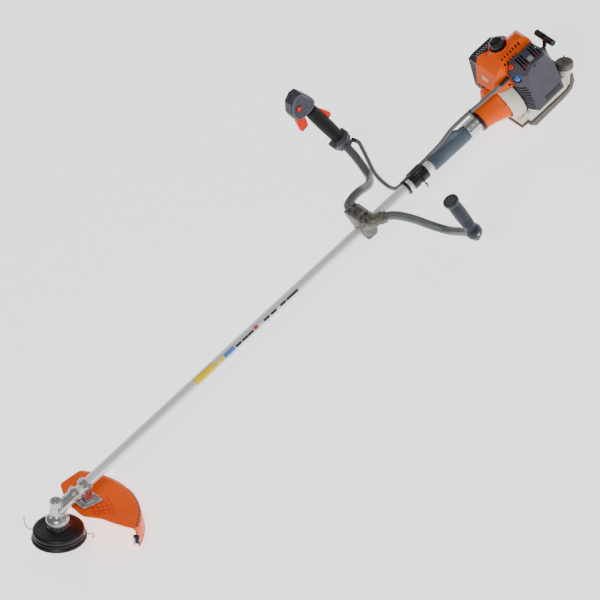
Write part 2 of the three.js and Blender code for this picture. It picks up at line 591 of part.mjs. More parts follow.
const COVER_BASE = [[1556, -30], [1664, -30], [1669, 84], [1648, 130], [1575, 130], [1556, 100]];
const COVER_FACE = [[1567, -25], [1654, -21], [1661, 70], [1650, 110], [1606, 112], [1582, 95]];
const BULB_AXIS = [-0.8, -0.56, 0.2];
const BULB_BASE = [1569, -66, 86];
const onBulbAxis = (distance) => BULB_BASE.map((c, i) => c + distance * BULB_AXIS[i]);
const KNOB_AXIS = [-0.45, -0.2, 0.87];
const onKnobAxis = (distance) => [1572, -62, 116].map((c, i) => c + distance * KNOB_AXIS[i]);

function filterCover() {
  const ring = (outline, y, inset) => {
    const [cx, cz] = [1610, 48];
    return outline.map(([x, z]) => [x - Math.sign(x - cx) * inset, y, z - Math.sign(z - cz) * inset]);
  };
  const outer = loft([ring(COVER_BASE, -48, 0), ring(COVER_BASE, -62, 0), ring(COVER_FACE, -95, 0)]);
  const inner = loft([ring(COVER_BASE, -40, 3), ring(COVER_BASE, -62, 3), ring(COVER_FACE, -92, 3)]);
  return cut(outer, inner, rod(onBulbAxis(-14), onBulbAxis(16), 12.4, 20),
    rod(onKnobAxis(-9), onKnobAxis(16), 3.6, 12), cableSpace(0.6));
}

const primerBulb = () =>
  turned([[0, -3], [11.5, -3], [11.5, 2], [9.8, 7], [6, 10], [0, 11]], 20, onBulbAxis(0), BULB_AXIS);

const chokeKnob = () => join(rod(onKnobAxis(-6), onKnobAxis(9.5), 3, 12),
  rod(onKnobAxis(9), onKnobAxis(14), 6, 20));

const PULL_AXIS = [0.488, 0, 0.872];
const onPullAxis = (distance, y = -50) => [1673 + distance * PULL_AXIS[0], y, 82 + distance * PULL_AXIS[2]];

function starterHousing() {
  const can = turnedAlongShaft([[0, 1672], [40, 1672], [45, 1668], [46, 1657], [43, 1657], [42, 1666],
    [38, 1669], [0, 1669]], 24);
  const ropeLeg = block([1664, 1672], [-46, -34], [10, 72]);
  const ropeArm = block([1669, 1675.5], [-52, -34], [62, 76]);
  const pulleyPost = rod([1655.5, 0, 0], [1670, 0, 0], 6.5, 20);
  return join(can, ropeLeg, ropeArm, pulleyPost);
}

function starterHandle() {
  const bar = rod([1687, -84, 107], [1687, -16, 107], 8.5, 20);
  const stem = rod(onPullAxis(3), onPullAxis(26), 5, 16, 7);
  return join(bar, stem);
}

const CAP_AXIS = [Math.sin(HEAD_TILT), 0, Math.cos(HEAD_TILT)];
const onCapAxis = (distance) => [1699 + distance * CAP_AXIS[0], -50, -8 + distance * CAP_AXIS[2]];

function fuelTank() {
  const barrel = turnedAlongShaft([[50, 1516], [57, 1522], [61, 1534], [62, 1554], [51, 1554], [51, 1522]],
    28);
  const saddle = cut(barrel, block([1500, 1580], [-80, 80], [48, 80]),
    block([1500, 1580], [0, 80], [-4, 80]));
  const tray = sidePrism([[1546, -70], [1671, -70], [1686, -57.5], [1690, -48], [1640, -50], [1640, -42],
    [1546, -42]], -59, 59, 3);
  const rail = sidePrism([[1558, -67], [1672, -67], [1684, -57.5], [1690, -33], [1558, -33]], -59, -47, 2);
  const riser = sidePrism([[1674, -60], [1684, -58], [1692, -42], [1702, -28], [1684, -28]], -64, -28, 4);
  const sump = block([1525, 1556], [-46, 46], [-70, -52]);
  const neck = rod(onCapAxis(-26), onCapAxis(-9.5), 17, 24);
  const starterRoom = turnedAlongShaft([[0, 1656], [49, 1656], [49, 1674], [0, 1674]]);
  return cut(join(saddle, sump, tray, rail, riser, neck), starterRoom);
}

function fuelCap() {
  const cap = turned([[0, 9], [20, 9], [22.5, 7], [22.5, -9], [0, -9]], 36, onCapAxis(0), CAP_AXIS);
  const strapSpace = rod(onCapAxis(6), onCapAxis(22), 6, 16);
  const strap = block([1693, 1705], [-51.5, -48.5], [-4, 12]).intersect(strapSpace);
  return join(cap, strap);
}

const footLine = (x) => FOOT[1] + (x - FOOT[0]) * Math.tan(LEAN);

// The foot wraps under the tank and up behind it; a thin tongue runs forward under the tank's front.
function tankFoot() {
  const side = [[1520, -76], [1520, -71.5], [1530, -70.5], [1672, -70.5], [1687, -58.5], [1694, -40],
    [1704, -40], [1698, -64], [1682, -80], [1655, footLine(1655)], [1552, footLine(1552)], [1544, -79]];
  const body = sidePrism(side, -62, 62, 0);
  const corner = (sign) => block([1490, 1540], sign > 0 ? [48, 80] : [-80, -48], [-100, -60]);
  return cut(body, corner(1), corner(-1));
}

function addEngine(group) {
  part(group, "clutch_housing", clutchHousing(), materials.orange);
  part(group, "clutch_drum", turnedAlongShaft([[3.8, 1489], [34, 1489], [34, 1513], [31.5, 1513],
    [31.5, 1492], [3.8, 1492]], 24), materials.steel);
  part(group, "clutch_shoes", clutchShoes(), materials.steel);
  part(group, "flywheel", flywheel(), materials.castMetal);
  part(group, "crankshaft", crankshaft(), materials.steel);
  part(group, "crankcase", crankcase(), materials.castMetal);
  part(group, "cylinder", cylinder(), materials.castMetal);
  part(group, "piston", piston(), materials.castMetal);
  part(group, "spark_plug", sparkPlug(), materials.steel);
  part(group, "spark_plug_boot", plugBoot(), materials.black);
  part(group, "shroud", shroud(), materials.orange);
  part(group, "muffler", sidePrism([[1560, 40], [1626, 40], [1626, 76], [1608, 92], [1560, 92]], 52, 76, 6),
    materials.steel);
  part(group, "muffler_guard", mufflerGuard(), materials.darkGrey);
  part(group, "carburetor", cut(block([1592, 1630], [-76, -48], [20, 58]),
    rod([1611, -90, 40], [1611, -40, 40], 9)), materials.castMetal);
  part(group, "air_filter", block([1590, 1645], [-89, -78], [-6, 80]), materials.footPlastic);
  part(group, "filter_cover", filterCover(), materials.darkGrey);
  part(group, "primer_bulb", primerBulb(), materials.blue);
  part(group, "choke_knob", chokeKnob(), materials.red);
  part(group, "starter_housing", starterHousing(), materials.darkGrey);
  part(group, "starter_pulley", turnedAlongShaft([[7, 1657.5], [36, 1657.5], [33, 1659.5], [36, 1661.5],
    [7, 1661.5]], 20), materials.black);
  part(group, "starter_handle", starterHandle(), materials.rubber);
  part(group, "fuel_tank", fuelTank(), materials.tankPlastic);
  part(group, "fuel_cap", fuelCap(), materials.footPlastic);
  part(group, "tank_foot", tankFoot(), materials.footPlastic);
}

// ---------------------------------------------------------------- the whole machine

// The origin of the finished group is the middle of the foot's underside, which is level.
const machine = new THREE.Group();
const head = new THREE.Group();
head.rotation.y = HEAD_TILT;
addHead(head);
part(head, "guard", guardShell(), materials.orange);
part(head, "guard_bracket", guardBracket(), materials.castMetal);
addCutter(head);
machine.add(head);
addShaft(machine);
part(machine, "handlebar", handlebar(), materials.barPaint);
addClamp(machine);
addLeftGrip(machine);
addThrottleHandle(machine);
addEngine(machine);
machine.position.set(-FOOT[0], 0, -FOOT[1]);

const group = new THREE.Group();
group.rotation.y = LEAN;
group.add(machine);

export default group;
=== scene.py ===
"""The looks of a petrol string trimmer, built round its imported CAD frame.

Pieces are drawn in millimetres in the shaft's frame, or in a frame that is placed in it. +X runs along the
drive tube from the cutting head to the engine, +Y is the operator's right, and the origin is where the shaft
meets the head's spin axis. Each piece is then placed in the row's frame, in metres.
"""

from math import atan, cos, pi, radians, sin, sqrt

import bmesh
import bpy
from mathutils import Matrix, Vector


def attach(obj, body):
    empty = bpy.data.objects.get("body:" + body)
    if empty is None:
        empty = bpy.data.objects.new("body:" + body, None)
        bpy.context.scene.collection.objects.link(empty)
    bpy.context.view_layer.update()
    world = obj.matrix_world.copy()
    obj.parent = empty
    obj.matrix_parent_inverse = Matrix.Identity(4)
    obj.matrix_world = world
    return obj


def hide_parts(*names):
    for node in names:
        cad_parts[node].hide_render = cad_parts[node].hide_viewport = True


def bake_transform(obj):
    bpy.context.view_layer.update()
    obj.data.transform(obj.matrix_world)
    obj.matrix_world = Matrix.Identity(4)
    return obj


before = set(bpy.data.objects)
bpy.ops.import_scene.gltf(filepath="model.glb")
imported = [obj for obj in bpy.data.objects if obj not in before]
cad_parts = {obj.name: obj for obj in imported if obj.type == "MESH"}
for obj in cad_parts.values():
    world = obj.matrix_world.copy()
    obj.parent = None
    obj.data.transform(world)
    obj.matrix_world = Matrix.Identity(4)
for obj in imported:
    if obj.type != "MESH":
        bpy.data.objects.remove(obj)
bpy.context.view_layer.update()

# -------- driving dimensions, in millimetres

MM = 0.001
HEAD_TILT = radians(23)
GUARD_RADIUS = 212
GUARD_TOP = -18
GUARD_BOTTOM = -69
CUTTER_TURN = -54.9  # degrees round the head's spin axis, where the guard ends
FOOT_X, FOOT_Z = 1596, -88
TUBE_RADIUS = 13
TUBE_WALL = 1.5
ON_TUBE = TUBE_RADIUS + 0.3  # the inner radius of the parts on it
TUBE_START, TUBE_END = 36, 1486
BAR_RADIUS = 11
BAR_X = 1052
BAR_HEIGHT = 45
BAR_END = (1198, 284, -7)
GRIP_BASE = (1200, 277, 5)
LEFT_UP = (-0.07, 0.12, 0.99)
HANDLE_UP = (-0.2, 0.03, 0.98)
BOOT_AXIS = (1589, 6, 0)
CABLE_RADIUS = 5.2
LINE_RADIUS = 1.2
ROPE_RADIUS = 1.8

VIEW_BACK = (-0.2052, -0.6883, 0.6956)  # from the object towards the camera, in the shaft's frame
VIEW_UP = (0.6645, 0.4239, 0.6153)
VIEW_TARGET = (805.7, -14.7, -21.3)
VIEW_DISTANCE = 20.0  # metres
VIEW_LENS = 486.0
FLOOR_REACH = 9  # metres
FLOOR_GLOW = 1.5
WORLD_GLOW = 0.3
LIGHT_TARGET = (-0.7, 0, 0.1)
LIGHTS = {  # each light's place and size in metres, and its power in watts
    "key": ((-2.4, -1.9, 3.2), 1.3, 60),
    "fill": ((1.6, -2.2, 2.4), 2.6, 14),
    "back": ((-0.2, 2.8, 2.4), 2.0, 14),
}

floor_x = GUARD_RADIUS * cos(HEAD_TILT) + GUARD_BOTTOM * sin(HEAD_TILT)
floor_z = GUARD_BOTTOM * cos(HEAD_TILT) - GUARD_RADIUS * sin(HEAD_TILT)
LEAN = atan((FOOT_Z - floor_z) / (FOOT_X - floor_x))

SHAFT = (
    Matrix.Rotation(LEAN, 4, "Y")
    @ Matrix.Diagonal((MM, MM, MM, 1))
    @ Matrix.Translation((-FOOT_X, 0, -FOOT_Z))
)
HEAD = SHAFT @ Matrix.Rotation(HEAD_TILT, 4, "Y")


def axis_frame(base, direction):
    """A matrix that puts +Z along a direction, from a base point."""
    turn = Vector((0, 0, 1)).rotation_difference(Vector(direction))
    return Matrix.Translation(base) @ turn.to_matrix().to_4x4()


HANDLE = SHAFT @ axis_frame(GRIP_BASE, HANDLE_UP)
LEFT = SHAFT @ axis_frame((GRIP_BASE[0], -GRIP_BASE[1], GRIP_BASE[2]), LEFT_UP)

# -------- shapes: a shape is (points, faces)


def moved(shape, matrix):
    points, faces = shape
    return [tuple(matrix @ Vector(p)) for p in points], faces


def joined(*shapes):
    points, faces = [], []
    for more_points, more_faces in shapes:
        start = len(points)
        points += more_points
        faces += [[start + i for i in face] for face in more_faces]
    return points, faces


def skin(rings):
    """Quads between matching rings of points, with the two ends capped."""
    count = len(rings[0])
    points = [tuple(p) for ring in rings for p in ring]
    faces = []
    for ring in range(len(rings) - 1):
        for i in range(count):
            j = (i + 1) % count
            a, b = ring * count, (ring + 1) * count
            faces.append([a + i, a + j, b + j, b + i])
    last = (len(rings) - 1) * count
    faces += [list(range(count))[::-1], list(range(last, last + count))]
    return points, faces


def full_turn(steps):
    """The angles of one whole turn in equal steps."""
    return [2 * pi * i / steps for i in range(steps)]


def lathe(outline, sides=64, wave=0.0, waves=0):
    """An outline of (radius, height) turned about Z. A wave ripples the radius round the axis."""
    rings = []
    for radius, height in outline:
        ring = []
        for turn in full_turn(sides):
            r = max(radius, 0.01) + (wave * cos(waves * turn) if radius > 1 else 0)
            ring.append((r * cos(turn), r * sin(turn), height))
        rings.append(ring)
    return skin(rings)


def ring_of(outline, sides=64):
    """A closed outline of (radius, height) turned about Z into a ring with a hole."""
    count = len(outline)
    points = [(r * cos(turn), r * sin(turn), h) for turn in full_turn(sides) for r, h in outline]
    faces = []
    for i in range(sides):
        a, b = i * count, ((i + 1) % sides) * count
        for k in range(count):
            m = (k + 1) % count
            faces.append([a + k, b + k, b + m, a + m])
    return points, faces


ALONG = Matrix(((0, 0, 1, 0), (0, 1, 0, 0), (-1, 0, 0, 0), (0, 0, 0, 1)))  # +Z to +X


def along_shaft(shape):
    return moved(shape, ALONG)


def rod(start, end, radius, sides=32, end_radius=None, round_end=0.0):
    """A round bar between two points, with its rims rounded off."""
    far = radius if end_radius is None else end_radius
    length = (Vector(end) - Vector(start)).length
    outline = [(radius, 0), (far, length)]
    if round_end:
        start_rim = [(radius - round_end, 0), (radius, round_end)]
        outline = [*start_rim, (far, length - round_end), (far - round_end, length)]
    return moved(lathe(outline, sides), axis_frame(start, Vector(end) - Vector(start)))


def spin(degrees, axis="Z"):
    return Matrix.Rotation(radians(degrees), 4, axis)


def box(x, y, z):
    corners = [(a, b, c) for a in x for b in y for c in z]
    return corners, [[0, 1, 3, 2], [4, 6, 7, 5], [0, 4, 5, 1], [2, 3, 7, 6], [0, 2, 6, 4], [1, 5, 7, 3]]


def rounded(outline, radius, steps=4):
    """The outline with each corner replaced by a short curve."""
    made = []
    count = len(outline)
    for i, corner in enumerate(outline):
        here = Vector(corner)
        before = Vector(outline[i - 1]) - here
        after = Vector(outline[(i + 1) % count]) - here
        reach = min(radius, before.length * 0.45, after.length * 0.45)
        a, b = here + before.normalized() * reach, here + after.normalized() * reach
        for s in range(steps + 1):
            t = s / steps
            made.append(tuple(a.lerp(here, t).lerp(here.lerp(b, t), t)))
    return made


def prism(outline, low, high, plane="xz"):
    """An outline extruded between two values of the axis that isn't in its plane."""
    put = {
        "xz": lambda a, b, c: (a, c, b),
        "xy": lambda a, b, c: (a, b, c),
        "yz": lambda a, b, c: (c, a, b),
    }[plane]
    return skin([[put(a, b, c) for a, b in outline] for c in (low, high)])


def smooth_path(points, per=8):
    """A curve through the points, centripetal Catmull-Rom, with some steps between each pair."""
    p = [Vector(q) for q in points]
    p = [2 * p[0] - p[1], *p, 2 * p[-1] - p[-2]]
    path = []
    for a, b, c, d in zip(p, p[1:], p[2:], p[3:]):
        ka, kb, kc = ((v - u).length ** 0.5 for u, v in ((a, b), (b, c), (c, d)))
        into = ((b - a) / ka - (c - a) / (ka + kb) + (c - b) / kb) * kb
        out = ((c - b) / kb - (d - b) / (kb + kc) + (d - c) / kc) * kb
        for s in range(per):
            t = s / per
            path.append(
                (2 * t**3 - 3 * t**2 + 1) * b
                + (t**3 - 2 * t**2 + t) * into
                + (-2 * t**3 + 3 * t**2) * c
                + (t**3 - t**2) * out
            )
    return [*path, p[-2]]


def tube(path, radius, sides=20):
    """A round section carried along a path without twisting."""
    rings = []
    side = None
    for i, here in enumerate(path):
        ahead = (path[min(i + 1, len(path) - 1)] - path[max(i - 1, 0)]).normalized()
        side = ahead.orthogonal() if side is None else side - ahead * side.dot(ahead)
        side = side.normalized()
        other = ahead.cross(side)
        rings.append([here + radius * (cos(t) * side + sin(t) * other) for t in full_turn(sides)])
    return skin(rings)


# -------- pieces


def smooth(obj, degrees=32):
    obj.data.shade_smooth()
    obj.data.set_sharp_from_angle(angle=radians(degrees))


def bake(obj):
    """Applies the piece's modifiers to its mesh."""
    graph = bpy.context.evaluated_depsgraph_get()
    made = bpy.data.meshes.new_from_object(obj.evaluated_get(graph))
    obj.modifiers.clear()
    obj.data = made
    return obj


def mesh_object(name, shape, space, weld=0.0):
    """A shape as a mesh object with its faces turned outwards, and its points within the weld made one."""
    points, faces = shape
    mesh = bpy.data.meshes.new(name)
    mesh.from_pydata([space @ Vector(p) for p in points], [], faces)
    work = bmesh.new()
    work.from_mesh(mesh)
    if weld:
        bmesh.ops.remove_doubles(work, verts=work.verts, dist=weld)
    bmesh.ops.recalc_face_normals(work, faces=work.faces)
    work.to_mesh(mesh)
    work.free()
    obj = bpy.data.objects.new(name, mesh)
    bpy.context.scene.collection.objects.link(obj)
    return obj


def piece(name, shape, material, space=SHAFT, body="machine", bevel=0.0, sharp=32, node=""):
    """A mesh piece that rides on a body and may have bevelled edges and stand for a CAD node."""
    obj = mesh_object(name, shape, space, weld=0.02 * MM)
    obj.data.materials.append(MATERIALS[material])
    if bevel:
        edge = obj.modifiers.new("edges", "BEVEL")
        edge.width = bevel * MM
        edge.segments = 3
        edge.limit_method = "ANGLE"
        edge.angle_limit = radians(28)
        bake(obj)
    smooth(obj, sharp)
    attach(obj, body)
    if node:
        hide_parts(node)
    return obj


def fused(obj, voxel, rounds=5, sharp=50):
    """Melts the piece's overlapping solids into one skin with soft edges, as a casting or moulding has."""
    melt = obj.modifiers.new("melt", "REMESH")
    melt.mode = "VOXEL"
    melt.voxel_size = voxel * MM
    soften = obj.modifiers.new("soften", "SMOOTH")
    soften.factor = 0.5
    soften.iterations = rounds
    bake(obj)
    smooth(obj, sharp)
    return obj


def cut(obj, shape, space=SHAFT, keep="DIFFERENCE"):
    """Takes a shape out of the piece, or keeps only what is inside it."""
    cutter = mesh_object("cutter", shape, space)
    trim = obj.modifiers.new("trim", "BOOLEAN")
    trim.operation = keep
    trim.solver = "EXACT"
    trim.use_self = True
    trim.object = cutter
    bpy.context.view_layer.update()
    bake(obj)
    bpy.data.objects.remove(cutter)
    smooth(obj)
    return obj


def screw(base, direction, radius=3.2, height=2.6):
    """A cap screw: a round head with a hexagon socket, standing on a washer."""
    socket = radius * 0.5
    outline = [(socket, height * 0.35), (socket, height), (radius * 0.9, height), (radius, height * 0.85),
               (radius, 0.4), (socket, 0.4)]
    washer = lathe([(radius * 1.35, 0), (radius * 1.35, 0.6), (radius, 0.7)], 24)
    floor_of_socket = lathe([(socket * 1.05, height * 0.3), (socket * 1.05, height * 0.4)], 6)
    return moved(joined(ring_of(outline, 24), washer, floor_of_socket), axis_frame(base, direction))


def hex_bolt(base, direction, radius=5.0, height=4.0):
    """A hexagon head on a washer."""
    head = lathe([(radius, 0.8), (radius, height), (radius * 0.8, height + 0.6)], 6)
    washer = lathe([(radius * 1.3, 0), (radius * 1.3, 0.9)], 32)
    return moved(joined(head, washer), axis_frame(base, direction))


# -------- materials

WORN_FROM, WORN_TO, WORN_MOST = 0.53, 0.66, 0.35  # the pointiness where wear starts and ends, and its share


def add_node(graph, kind, inputs, **settings):
    """Adds a shader node, and links each input to a socket or sets it to a value."""
    made = graph.nodes.new("ShaderNode" + kind)
    for setting, value in settings.items():
        setattr(made, setting, value)
    for name, value in inputs.items():
        if isinstance(value, bpy.types.NodeSocket):
            graph.links.new(value, made.inputs[name])
        else:
            made.inputs[name].default_value = value
    return made


def drifting_colour(graph, where, color, shift, patch):
    """A colour that drifts by a share of itself over patches, and is paler along worn edges."""
    drift = add_node(graph, "TexNoise", {"Scale": patch, "Detail": 5, "Vector": where})
    tint = add_node(graph, "ValToRGB", {"Fac": drift.outputs["Fac"]})
    darkest, palest = tint.color_ramp.elements
    darkest.position = 0.3
    palest.position = 0.7
    darkest.color = (*[c * (1 - shift) for c in color], 1)
    palest.color = (*[min(1, c * (1 + shift)) for c in color], 1)
    wear = add_node(graph, "NewGeometry", {})
    worn = add_node(graph, "MapRange", {
        "From Min": WORN_FROM, "From Max": WORN_TO, "To Max": WORN_MOST, "Value": wear.outputs["Pointiness"]})
    rubbed = (*[min(1, c * 1.25 + 0.03) for c in color], 1)
    edge = add_node(graph, "Mix", {
        "Factor": worn.outputs["Result"], "A": tint.outputs["Color"], "B": rubbed}, data_type="RGBA")
    return edge.outputs["Result"]


def finish(name, color, rough, shift, grain, bump, metal=0.0, stretch=(1, 1, 1), depth=0.0002, coat=0.0,
           sheen=0.0, see_through=0.0, shine=0.5, patch=34):
    """A finish whose colour and roughness drift a little, with a fine grain in its bump."""
    made = bpy.data.materials.new(name)
    made.use_nodes = True
    graph = made.node_tree
    place = add_node(graph, "TexCoord", {})
    scale = add_node(graph, "Mapping", {"Scale": stretch, "Vector": place.outputs["Object"]})
    where = scale.outputs["Vector"]
    fine = add_node(graph, "TexNoise", {"Scale": grain, "Detail": 3, "Vector": where}).outputs["Fac"]
    gloss = add_node(graph, "MapRange", {
        "To Min": rough * 0.82, "To Max": min(1, rough * 1.18), "Value": fine})
    relief = add_node(graph, "Bump", {"Strength": bump, "Distance": depth, "Height": fine})
    shader = graph.nodes["Principled BSDF"]
    values = {"Metallic": metal, "Specular IOR Level": shine, "Coat Weight": coat, "Coat Roughness": 0.08,
              "Sheen Weight": sheen, "Transmission Weight": see_through}
    for socket, value in values.items():
        shader.inputs[socket].default_value = value
    graph.links.new(drifting_colour(graph, where, color, shift, patch), shader.inputs["Base Color"])
    graph.links.new(gloss.outputs["Result"], shader.inputs["Roughness"])
    graph.links.new(relief.outputs["Normal"], shader.inputs["Normal"])
    return made


FINISHES = {  # slot in the record, colour, roughness, drift, grain, bump, and what else isn't usual
    "orange": ("orange", (1.0, 0.11, 0.0), 0.33, 0.04, 500, 0.06, dict(shine=0.1)),
    # a darker copy of the orange: painted shade, used on the guard's ribs
    "orange_painted_shade": ("orange", (0.8, 0.03, 0.0), 0.4, 0.08, 500, 0.06, dict(shine=0.14)),
    "red": ("red_plastic", (0.9, 0.03, 0.0), 0.36, 0.05, 600, 0.05, dict(shine=0.15)),
    "black": ("black_plastic", (0.007, 0.007, 0.0075), 0.4, 0.3, 1600, 0.2, dict(shine=0.35)),
    "black_gloss": ("black_plastic", (0.005, 0.005, 0.0055), 0.28, 0.3, 700, 0.05, dict(shine=0.4)),
    "soft_grip": ("black_plastic", (0.005, 0.005, 0.005), 0.6, 0.3, 700, 0.4, dict(depth=0.0005, shine=0.18)),
    "rubber": ("grip_rubber", (0.014, 0.021, 0.034), 0.36, 0.25, 1400, 0.12, dict(shine=0.35)),
    "sleeve": ("sleeve_foam", (0.075, 0.1, 0.13), 0.7, 0.22, 1100, 0.45, dict(depth=0.0004, sheen=0.08)),
    "slate": ("grey_plastic", (0.056, 0.054, 0.074), 0.42, 0.14, 1500, 0.25, dict(shine=0.3)),
    "conduit": ("black_plastic", (0.15, 0.15, 0.15), 0.45, 0.15, 1200, 0.15, {}),
    "mesh": ("guard_mesh", (0.045, 0.047, 0.05), 0.5, 0.2, 900, 0.2, dict(metal=0.3)),
    "bar": ("bar_paint", (0.12, 0.13, 0.13), 0.36, 0.1, 1100, 0.12, dict(metal=0.2)),
    "cream": ("tank_plastic", (0.85, 0.8, 0.69), 0.42, 0.04, 700, 0.12, {}),
    "taupe": ("foot_plastic", (0.135, 0.12, 0.1), 0.55, 0.15, 1300, 0.3, {}),
    "tube": ("tube_metal", (0.84, 0.83, 0.86), 0.28, 0.05, 1400, 0.08, dict(metal=0.4, stretch=(0.04, 1, 1))),
    "cast": ("cast_metal", (0.5, 0.485, 0.495), 0.24, 0.1, 1000, 0.14, dict(metal=0.95)),
    "rough_cast": ("cast_metal", (0.16, 0.15, 0.13), 0.45, 0.6, 420, 0.8,
                   dict(metal=0.6, depth=0.0008, patch=75)),
    "steel": ("steel", (0.4, 0.41, 0.42), 0.32, 0.1, 1200, 0.1, dict(metal=1.0)),
    "bright_steel": ("steel", (0.62, 0.62, 0.63), 0.22, 0.08, 1200, 0.06, dict(metal=1.0)),
    "dark_steel": ("steel", (0.09, 0.088, 0.085), 0.35, 0.3, 900, 0.2, dict(metal=0.9)),
    "blue": ("primer_blue", (0.015, 0.16, 0.55), 0.18, 0.1, 300, 0.03, dict(coat=0.5, see_through=0.25)),
    "line": ("line_nylon", (0.13, 0.15, 0.13), 0.35, 0.1, 1500, 0.1, {}),
    "rope": ("black_plastic", (0.03, 0.03, 0.032), 0.7, 0.4, 900, 0.9, dict(depth=0.0006, stretch=(1, 1, 3))),
    "label_grey": ("grey_plastic", (0.25, 0.3, 0.26), 0.4, 0.06, 700, 0.05, {}),
    "label_yellow": ("tube_metal", (0.95, 0.68, 0.0), 0.4, 0.05, 700, 0.05, dict(shine=0.15)),
    "label_dark": ("tube_metal", (0.03, 0.03, 0.035), 0.4, 0.1, 700, 0.05, {}),
    "label_blue": ("tube_metal", (0.1, 0.22, 0.55), 0.4, 0.08, 700, 0.05, {}),
    "label_pink": ("orange", (0.8, 0.42, 0.34), 0.4, 0.05, 700, 0.05, {}),
    "label_red": ("tube_metal", (0.5, 0.06, 0.03), 0.4, 0.08, 700, 0.05, {}),
}
MATERIALS = {name: finish(name, *look, **more) for name, (slot, *look, more) in FINISHES.items()}

# -------- camera, light and floor


def add_camera():
    """Looks at the machine from the same side as a catalogue picture of it, flattened by a long lens."""
    lean = SHAFT.to_3x3().normalized()
    back, up = lean @ Vector(VIEW_BACK), lean @ Vector(VIEW_UP)
    target = SHAFT @ Vector(VIEW_TARGET)
    data = bpy.data.cameras.new("camera")
    data.lens = VIEW_LENS
    data.sensor_width = 36
    data.clip_end = 100
    camera = bpy.data.objects.new("camera", data)
    bpy.context.scene.collection.objects.link(camera)
    right = up.cross(back).normalized()
    turn = Matrix((right, back.cross(right), back)).transposed()
    camera.matrix_world = Matrix.Translation(target + back * VIEW_DISTANCE) @ turn.to_4x4()
    bpy.context.scene.camera = camera


def add_area_light(name, place, size, power):
    data = bpy.data.lights.new(name, "AREA")
    data.shape = "DISK"
    data.size = size
    data.energy = power
    lamp = bpy.data.objects.new(name, data)
    bpy.context.scene.collection.objects.link(lamp)
    lamp.location = place
    lamp.rotation_euler = (Vector(LIGHT_TARGET) - Vector(place)).to_track_quat("-Z", "Y").to_euler()


def add_floor():
    """A plain pale floor with a weak glow of its own."""
    reach = FLOOR_REACH
    mesh = bpy.data.meshes.new("floor")
    corners = [(-reach, -reach, 0), (reach, -reach, 0), (reach, reach, 0), (-reach, reach, 0)]
    mesh.from_pydata(corners, [], [[0, 1, 2, 3]])
    floor = bpy.data.objects.new("floor", mesh)
    bpy.context.scene.collection.objects.link(floor)
    pale = finish("floor", (0.92, 0.92, 0.92), 0.9, 0.01, 60, 0.02)
    shader = pale.node_tree.nodes["Principled BSDF"]
    shader.inputs["Emission Color"].default_value = (1, 1, 1, 1)
    shader.inputs["Emission Strength"].default_value = FLOOR_GLOW
    floor.data.materials.append(pale)


def add_light():
    """A soft key light from the upper left, two weak fills and an even white studio round them."""
    for name, (place, size, power) in LIGHTS.items():
        add_area_light(name, place, size, power)
    world = bpy.data.worlds.new("studio")
    world.use_nodes = True
    background = world.node_tree.nodes["Background"]
    background.inputs["Color"].default_value = (1, 1, 1, 1)
    background.inputs["Strength"].default_value = WORLD_GLOW
    bpy.context.scene.world = world


# -------- pieces cast or moulded round a CAD solid


def bare_solid(node):
    """A CAD node's own points, back in the shaft's frame, as a shape."""
    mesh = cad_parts[node].data
    back = SHAFT.inverted()
    return [tuple(back @ v.co) for v in mesh.vertices], [list(f.vertices) for f in mesh.polygons]


def moulded(name, node, material, body="machine", adds=(), cuts=(), voxel=1.0, rounds=4, keep=0.4, sharp=40):
    """A CAD solid with more shapes on it and in it, then given the soft edges of a casting or moulding."""
    obj = piece(name, bare_solid(node), material, body=body, node=node)
    for shape in cuts:
        cut(obj, shape)
    if adds:
        extra = piece(name + "_extra", joined(*adds), material, body=body)
        work = bmesh.new()
        work.from_mesh(obj.data)
        work.from_mesh(extra.data)
        work.to_mesh(obj.data)
        work.free()
        bpy.data.objects.remove(extra)
    fused(obj, voxel, rounds, sharp)
    thin = obj.modifiers.new("thin", "DECIMATE")
    thin.ratio = keep
    bake(obj)
    smooth(obj, sharp)
    return obj


# -------- the two free ends of the nylon line

LINE_TAILS = {
    "line_tail_front": [
        (-44.2, 49.2, -61), (-47.3, 52.7, -61.5), (-49, 58, -61.5), (-50, 65.5, -60.5), (-49, 73.5, -58.5),
        (-46, 81.5, -55.5), (-41.5, 88.5, -51.5), (-37.5, 93.5, -47),
    ],
    "line_tail_rear": [
        (44.2, -49.2, -61), (49, -54.5, -61.5), (54, -60.5, -61.5), (57.5, -65, -61.5), (57.5, -70, -62),
        (54, -73.5, -62.5), (48.5, -74, -63),
    ],
}


def add_line_tails():
    for name, points in LINE_TAILS.items():
        path = smooth_path(points, 3)
        line = tube(path, LINE_RADIUS, 14)
        tail = piece(name + "_piece", line, "line", HEAD, "cutting_head", node=name)


# -------- cutting head and guard

TUBE_IN_HEAD = Vector((cos(HEAD_TILT), 0, sin(HEAD_TILT)))
ABOVE_TUBE = Vector((-sin(HEAD_TILT), 0, cos(HEAD_TILT)))


def add_gear_case():
    """A cast elbow with a clamp lug, a grease plug's boss and a ridge."""
    tower = lathe([(0, 34), (12.5, 34), (15, 33), (16, 31), (16, -8), (18.5, -11), (25, -15), (28.5, -19),
                   (29.5, -23), (29.5, -33), (27, -38), (24, -42), (0, -42)], 96)
    socket = rod((0, 0, 0), TUBE_IN_HEAD * 62, 17, 64)
    lug = rod(TUBE_IN_HEAD * 56, TUBE_IN_HEAD * 70, 20.5, 64, round_end=2)
    plug_boss = rod((0, -10, 10), (0, -20, 10), 6, 32)
    ridge = box((-22, 0), (-1.5, 1.5), (-20, 10))
    shape = joined(tower, socket, lug, plug_boss, ridge)
    case = piece("gear_case_casting", shape, "cast", HEAD, node="gear_case")
    fused(case, 0.9, 6)


